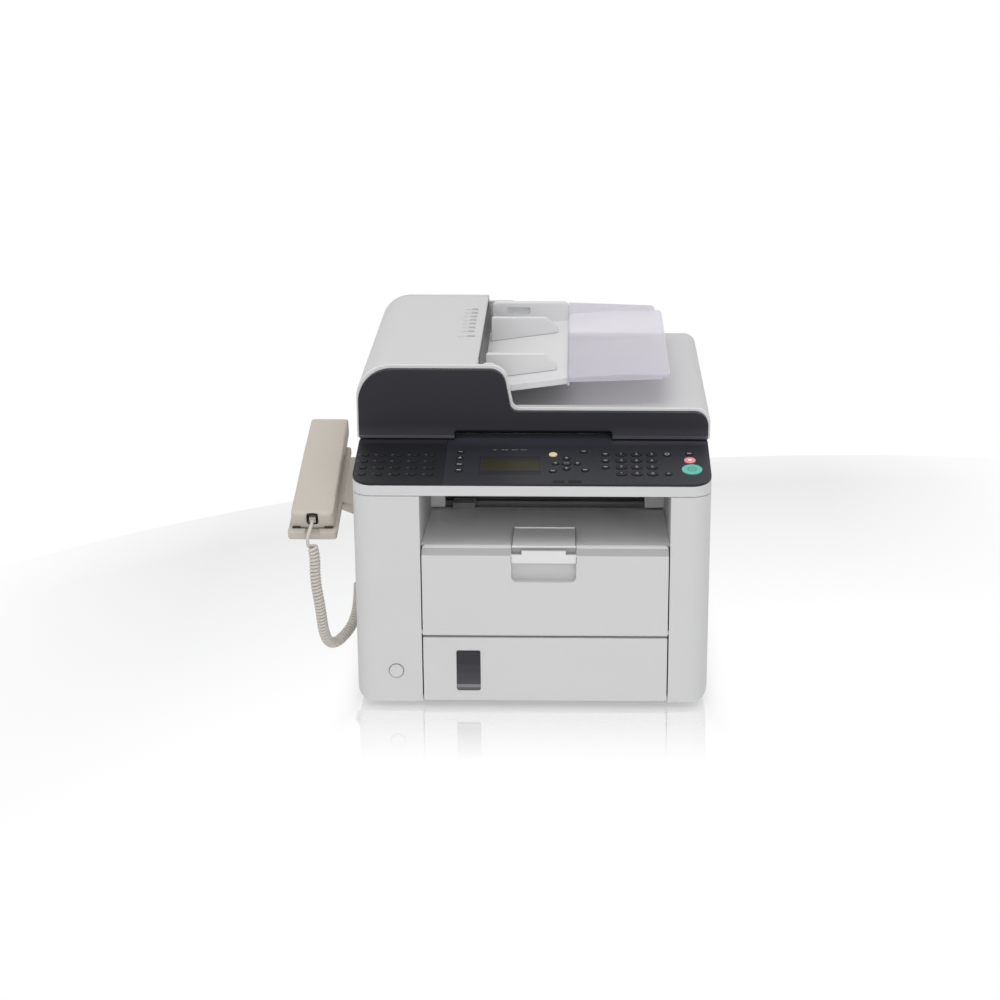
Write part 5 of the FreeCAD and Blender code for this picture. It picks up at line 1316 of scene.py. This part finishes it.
@dataclass
class Housing:
    """Lower body: covers, floor, back and the parts inside."""

    painted: dict[str, Finish] = field(default_factory=lambda: {
        "base_pan": Finish.GREY, "feet": Finish.RUBBER, "side_plates": Finish.PLATE,
        "laser_unit": Finish.BLACK, "toner_cartridge": Finish.BLACK,
        "circuit_boards": Finish.BOARD, "phone_jacks": Finish.SOCKET,
        "rear_ports": Finish.SOCKET, "pickup_roller": Finish.PICKUP,
        "fuser_roller": Finish.FUSER, "delivery_roller": Finish.DELIVERY})
    button: Spot = (-149.5, 42.5)
    side: float = 194.0
    back: float = 410.0
    vent: Spot = (250.0, 126.0)
    vent_length: float = 70.0
    jacks: Point = (178.0, 200.0, 222.0)

    def build(self) -> None:
        """Dress the lower body."""
        for node, finish in self.painted.items():
            paint(node, finish)
        soften("power_button", Finish.WHITE, 0.5)
        soften("rear_cover", Finish.WHITE, 0.7, cuts=((0, 13.0),))
        soften("rear_panel", Finish.WHITE, 0.5, cuts=((0, -139.0), (0, -159.0)))
        middle = (1, self.vent[0] + self.vent_length / 2)
        soften("left_cover", Finish.SIDE, 0.6,
               cuts=(middle, *[(1, place) for place in self.jacks]))
        soften("right_cover", Finish.SIDE, 0.6, cuts=(middle,))
        soften("output_tray", Finish.TRAY, 0.6)
        self.dress()

    def dress(self) -> None:
        """Add the small parts that show on the lower body."""
        lever = Solid().block((-96, 188, 169.9), (-70, 204.5, 173), 0.7)
        lever.block((-96, 185.5, 165.5), (-70, 188.4, 173), 0.7)
        lever.finish("exit_lever", Finish.GREY_LEVER_AND_GAP_SHADOW, "main_unit")
        # Grey sheet behind the paper exit: it stands in for the shaded inside of the machine,
        # painted shade.
        screen = Solid().block((-119, 228, 158), (148, 229.5, 238))
        screen.finish("exit_screen", Finish.GREY, "main_unit")
        # Grey ring of painted shadow in the gap around the power button.
        ring = Solid(FRONT).ring(self.button, 7.9, 8.7, -0.2, 0.06)
        ring.finish("button_ring", Finish.GREY_LEVER_AND_GAP_SHADOW, "main_unit")
        for name, face, start in (("left", LEFT, -self.vent[0] - self.vent_length),
                                  ("right", RIGHT, self.vent[0])):
            mesh = Solid(face).block(
                (start - 3, self.vent[1] - 3, self.side - 4),
                (start + self.vent_length + 3, self.vent[1] + 75, self.side - 3.4))
            mesh.finish(f"vent_screen_{name}", Finish.BLACK, "main_unit")
            bars = Solid(face).block((start + 4.3, self.vent[1], self.side - 3.2),
                                     (start + 5.7, self.vent[1] + 3.5, self.side - 0.6))
            bars.spread(7, 8, (10, 9)).finish(f"vent_bars_{name}", Finish.WHITE, "main_unit")
        rear = Solid(BACK).screw((-160, 28), self.back).spread(2, 2, (320, 182))
        rear.finish("back_screws", Finish.SCREW, "main_unit")
        under = Solid(UNDER).screw((-120, -300), -6.0, 3.4).spread(2, 2, (240, 200))
        under.finish("floor_screws", Finish.SCREW, "main_unit")
        self.contacts()

    def contacts(self) -> None:
        """Add the contacts inside the sockets."""
        line = Solid(LEFT).block((-224.7, 119.2, 184.5), (-224.3, 120.6, 192))
        line.spread(6, 1, (1, 0)).spread(2, 1, (22, 0))
        line.finish("jack_contacts", Finish.GOLD, "main_unit")
        network = Solid(BACK).block((154.8, 89.4, 399), (155.2, 90.6, 407.5))
        network.spread(8, 1, (1.15, 0)).finish("network_contacts", Finish.GOLD, "main_unit")
        data = Solid(BACK).block((134.5, 83.8, 398), (141.5, 88.2, 407), 0.4)
        data.finish("data_tongue", Finish.PAPER, "main_unit")
        mains = Solid(BACK).block((147.6, 47.4, 397), (149.2, 52.6, 406.5), 0.4)
        mains.spread(3, 1, (5.6, 0)).finish("inlet_pins", Finish.PLATE, "main_unit")


@dataclass
class Front:
    """Front cover with its flap, and the paper cassette."""

    window_low: Spot = (-83.25, 19.0)
    window_high: Spot = (-56.55, 67.2)
    handle: Spot = (-22.5, 48.5)

    def build(self) -> None:
        """Dress the front."""
        soften("front_cover", Finish.DOOR, 0.6)
        soften("paper_stopper", Finish.FLAP, 0.5)
        window = (self.window_low[0] + self.window_high[0]) / 2
        soften("cassette_front", Finish.WHITE, 0.6, cuts=((0, window),))
        paint("cassette_tray", Finish.GREY)
        paint("cassette_window", Finish.SMOKED)
        paint("lift_plate", Finish.PLATE)
        self.dress()

    def dress(self) -> None:
        """Add the rim of the window, the paper behind it, painted shadow lines beside the handle
        and the bead of the flap.
        """
        rim = Solid(FRONT).edging(self.window_low, self.window_high, 1.3, (-0.4, 0.25))
        rim.finish("window_rim", Finish.WHITE, "cassette")
        paper = Solid().block((-82.6, 4, 23.4), (-57.2, 11, 27))
        paper.finish("paper_edge", Finish.PAPER, "cassette")
        # Grey lines of painted shadow in the seams beside the handle.
        seams = Solid(FRONT)
        for place in self.handle:
            seams.block((place - 0.4, 169.4, -0.9), (place + 0.4, 177.4, 0.04))
        seams.finish("handle_seams", Finish.GREY_LEVER_AND_GAP_SHADOW, "front_cover")
        bead = Solid().block((-20.5, 78.2, 181.2), (46.5, 79.6, 182.9), 0.4)
        bead.finish("flap_bead", Finish.FLAP, "paper_stopper")


@dataclass
class Scanner:
    """Scanner housing with its glass and carriage."""

    deck: float = 277.0
    half: float = 193.4
    notch: float = 87.8

    def build(self) -> None:
        """Dress the scanner."""
        soften("scanner_base", Finish.WHITE, 0.5, cuts=((0, -170.0), (0, 0.0), (1, 250.0)))
        paint("platen_glass", Finish.GLASS)
        paint("carriage_rod", Finish.ROD)
        paint("lid_hinges", Finish.GREY)
        paint("scan_carriage", Finish.BLACK)
        self.dress()

    def dress(self) -> None:
        """Add the dark strip behind the panel and the scale at the glass."""
        strip = Solid()
        for start, end in ((-self.half, -self.notch), (self.notch, self.half)):
            strip.block((start, 101.25, self.deck - 2.2), (end, 113, self.deck + 0.1))
        strip.finish("deck_strip", Finish.FASCIA, "scanner_unit")
        scale = Solid().block((-148, 128.5, self.deck - 0.1), (-147.6, 132, self.deck + 0.05))
        scale.spread(30, 1, (10, 0)).finish("glass_scale", Finish.DIM_PRINT, "scanner_unit")


@dataclass
class ControlPanel:
    """Sloped panel with its keys, display and print."""

    cap: float = 1.05
    flat: float = 0.04
    columns: Point = (96.9, 113.7, 130.5)
    rows: tuple[float, ...] = (67.7, 52.8, 37.9, 23.0)
    digits: tuple[str, ...] = ("1", "2", "3", "4", "5", "6", "7", "8", "9", "*", "0", "#")
    touch: Spot = (-184.0, 20.9)
    pitch: Spot = (18.3, 14.8)
    beside: float = 6.4
    screen_low: Spot = (-53.6, 31.5)
    screen_high: Spot = (7.4, 53.4)

    def build(self) -> None:
        """Dress the panel."""
        soften("control_panel", Finish.PANEL_DARK, 0.25)
        paint("display_window", Finish.DISPLAY)
        for node in NODES:
            if node.startswith("key_") or node in ("one_touch_keys", "menu_keys"):
                soften(node, Finish.KEY_DARK, 0.4)
        soften("start_key", Finish.MINT, 0.5)
        soften("stop_key", Finish.SALMON, 0.4)
        soften("id_key", Finish.YELLOW, 0.5)
        self.display()
        self.numerals()
        self.signs()

    def display(self) -> None:
        """Add the screen, its frame and the two lamp lenses."""
        screen = Solid(PANEL).block((*self.screen_low, -0.4), (*self.screen_high, -0.22))
        screen.finish("display_screen", Finish.SCREEN, "scanner_unit")
        frame_bars = Solid(PANEL).edging(
            (self.screen_low[0] - 1, self.screen_low[1] - 1),
            (self.screen_high[0] + 1, self.screen_high[1] + 1), 1.4, (-0.4, -0.05))
        frame_bars.finish("display_edging", Finish.FRAME_DARK, "scanner_unit")
        lenses = Solid(PANEL).block((22.7, 2.2, -0.1), (35.7, 7.4, 0.3), 0.2)
        lenses.block((39.3, 2.2, -0.1), (53.4, 7.4, 0.3), 0.2)
        lenses.finish("lamp_lenses", Finish.LENS, "scanner_unit")

    def numerals(self) -> None:
        """Print the number keys and the places of the one-touch keys."""
        names = {"*": "star", "#": "hash"}
        for index, digit in enumerate(self.digits):
            body = "key_" + names.get(digit, digit)
            place = (self.columns[index % 3], self.rows[index // 3])
            print_piece = Solid(PANEL).words(digit, place, 6.4, self.cap)
            print_piece.finish(body + "_print", Finish.PRINT, body)
        places = Solid(PANEL)
        for index in range(20):
            column, row = index % 5, 3 - index // 5
            place = (self.touch[0] + self.pitch[0] * column - self.beside,
                     self.touch[1] + self.pitch[1] * row)
            places.words(f"{index + 1:02d}", place, 3.0, self.flat)
        for mark in (-42, -33, -29, -22, -18, -12, -8):
            places.dash((mark, 78), 3.2, 1.5, self.flat)
        places.finish("panel_print", Finish.DIM_PRINT, "scanner_unit")

    def signs(self) -> None:
        """Print the signs on the menu, start and stop keys."""
        signs = Solid(PANEL)
        signs.dash((-79.5, 71.6), 4.6, 1.0, self.cap).arrow((-79.5, 57.2), 2.6, 90, self.cap)
        signs.dash((-79.5, 43.4), 5.4, 1.0, self.cap).dash((-79.5, 41.4), 5.4, 1.0, self.cap)
        signs.dash((-79.5, 29.4), 4.4, 2.2, self.cap)
        for place, turn in (((25.2, 46.2), 180), ((49.2, 46.2), 0), ((37.3, 58), 90),
                            ((37.3, 34.4), 270)):
            signs.arrow(place, 2.2, turn, self.cap)
        signs.words("OK", (37.3, 46.2), 4.2, self.cap)
        for place in ((79.8, 67.7), (79.8, 52.8), (79.8, 37.9), (57.5, 31), (22.5, 28.5)):
            signs.dash(place, 4.2, 1.8, self.cap)
        signs.ring((147.6, 67.9), 1.6, 2.8, self.cap - PRINT_HEIGHT, self.cap)
        signs.dash((147.6, 23.3), 2.6, 1.4, self.cap).dash((56, 74), 4.4, 1.6, self.cap)
        signs.dash((172, 69.5), 4.4, 2.4, self.cap)
        signs.finish("menu_print", Finish.PRINT, "menu_keys")
        start = Solid(PANEL).ring((173.4, 33.1), 4.0, 5.2, self.cap - PRINT_HEIGHT, self.cap)
        start.dash((173.4, 33.1), 4.4, 1.6, self.cap)
        start.finish("start_print", Finish.TEAL_PRINT, "start_key")
        stop = Solid(PANEL).disc((172, 54.3), 2.4, self.cap - PRINT_HEIGHT, self.cap)
        stop.finish("stop_print", Finish.PAPER, "stop_key")


@dataclass
class Lid:
    """Lid with its dark front, feeder cover and document tray."""

    softened: dict[str, tuple[Finish, float]] = field(default_factory=lambda: {
        "lid_fascia": (Finish.FASCIA, 0.5),
        "adf_cover": (Finish.COVER, 0.5), "document_tray": (Finish.FEEDER, 0.5),
        "guide_front": (Finish.FEEDER, 0.8), "guide_rear": (Finish.FEEDER, 0.8),
        "tray_extension": (Finish.LILAC, 0.4)})

    def build(self) -> None:
        """Dress the lid."""
        soften("lid_body", Finish.LID, 0.6, cuts=((0, -30.0), (0, 50.0), (1, 250.0)))
        for node, (finish, width) in self.softened.items():
            soften(node, finish, width)
        paint("platen_sheet", Finish.SHEET)
        paint("adf_roller", Finish.FEED)


@dataclass
class Handset:
    """Handset on its cradle."""

    cup_half: float = 6.0
    cup: Spot = (6.0, 19.0)
    deep: float = 13.0
    clear: float = 0.1
    cup_skin: float = 0.5
    cup_lip: float = 0.8

    def build(self) -> None:
        """Dress the handset."""
        melt("handset", Finish.BEIGE, 1.0, 28)
        soften("cradle", Finish.BEIGE, 0.8, 3, cuts=((1, 125.0), (0, -243.0)))
        soften("hook_switch", Finish.BEIGE, 0.5)
        self.dress()

    def dress(self) -> None:
        """Add the cord's cup and the handset's holes in dark, as painted shade, and the pads of
        the rest.
        """
        skin, lip = self.cup_skin, self.cup_lip
        side, back = self.cup_half - self.clear, self.deep - self.clear
        low, high = self.cup[0] + self.clear, self.cup[1] - self.clear
        # Dark lining of the cord's opening, painted shade.
        cup = Solid(REST)
        for first, last in (((-side, lip, low), (-side + skin, back, high)),
                            ((side - skin, lip, low), (side, back, high)),
                            ((-side, lip, low), (side, back, low + skin)),
                            ((-side, lip, high - skin), (side, back, high)),
                            ((-side, back - skin, low), (side, back, high))):
            cup.block(first, last)
        cup.finish("cord_cup", Finish.SOCKET, "handset")
        pads = Solid(REST).block((-22.4, -2.3, -0.3), (-13.5, -0.2, 4.4), 0.6)
        pads.block((13.5, -2.3, -0.3), (22.4, -0.2, 4.4), 0.6)
        pads.finish("cradle_pads", Finish.RUBBER, "main_unit")
        # Dark discs in the handset's holes, painted shade.
        for name, start in (("speak", -30.0), ("listen", -183.0)):
            holes = Solid(REST_UNDER).disc((-8, start), 0.9, -0.2, 0.06, 0.0, 14)
            holes.spread(5, 4, (4, 4)).finish(f"{name}_holes", Finish.SOCKET, "handset")


def main() -> None:
    """Build the scene in order."""
    logging.basicConfig(level=logging.INFO, format="%(name)s: %(message)s")
    for part in (Stage(), CurlyCord(), Housing(), Front(), Scanner(), ControlPanel(), Lid(),
                 Handset()):
        part.build()


if __name__ == "__main__":
    main()
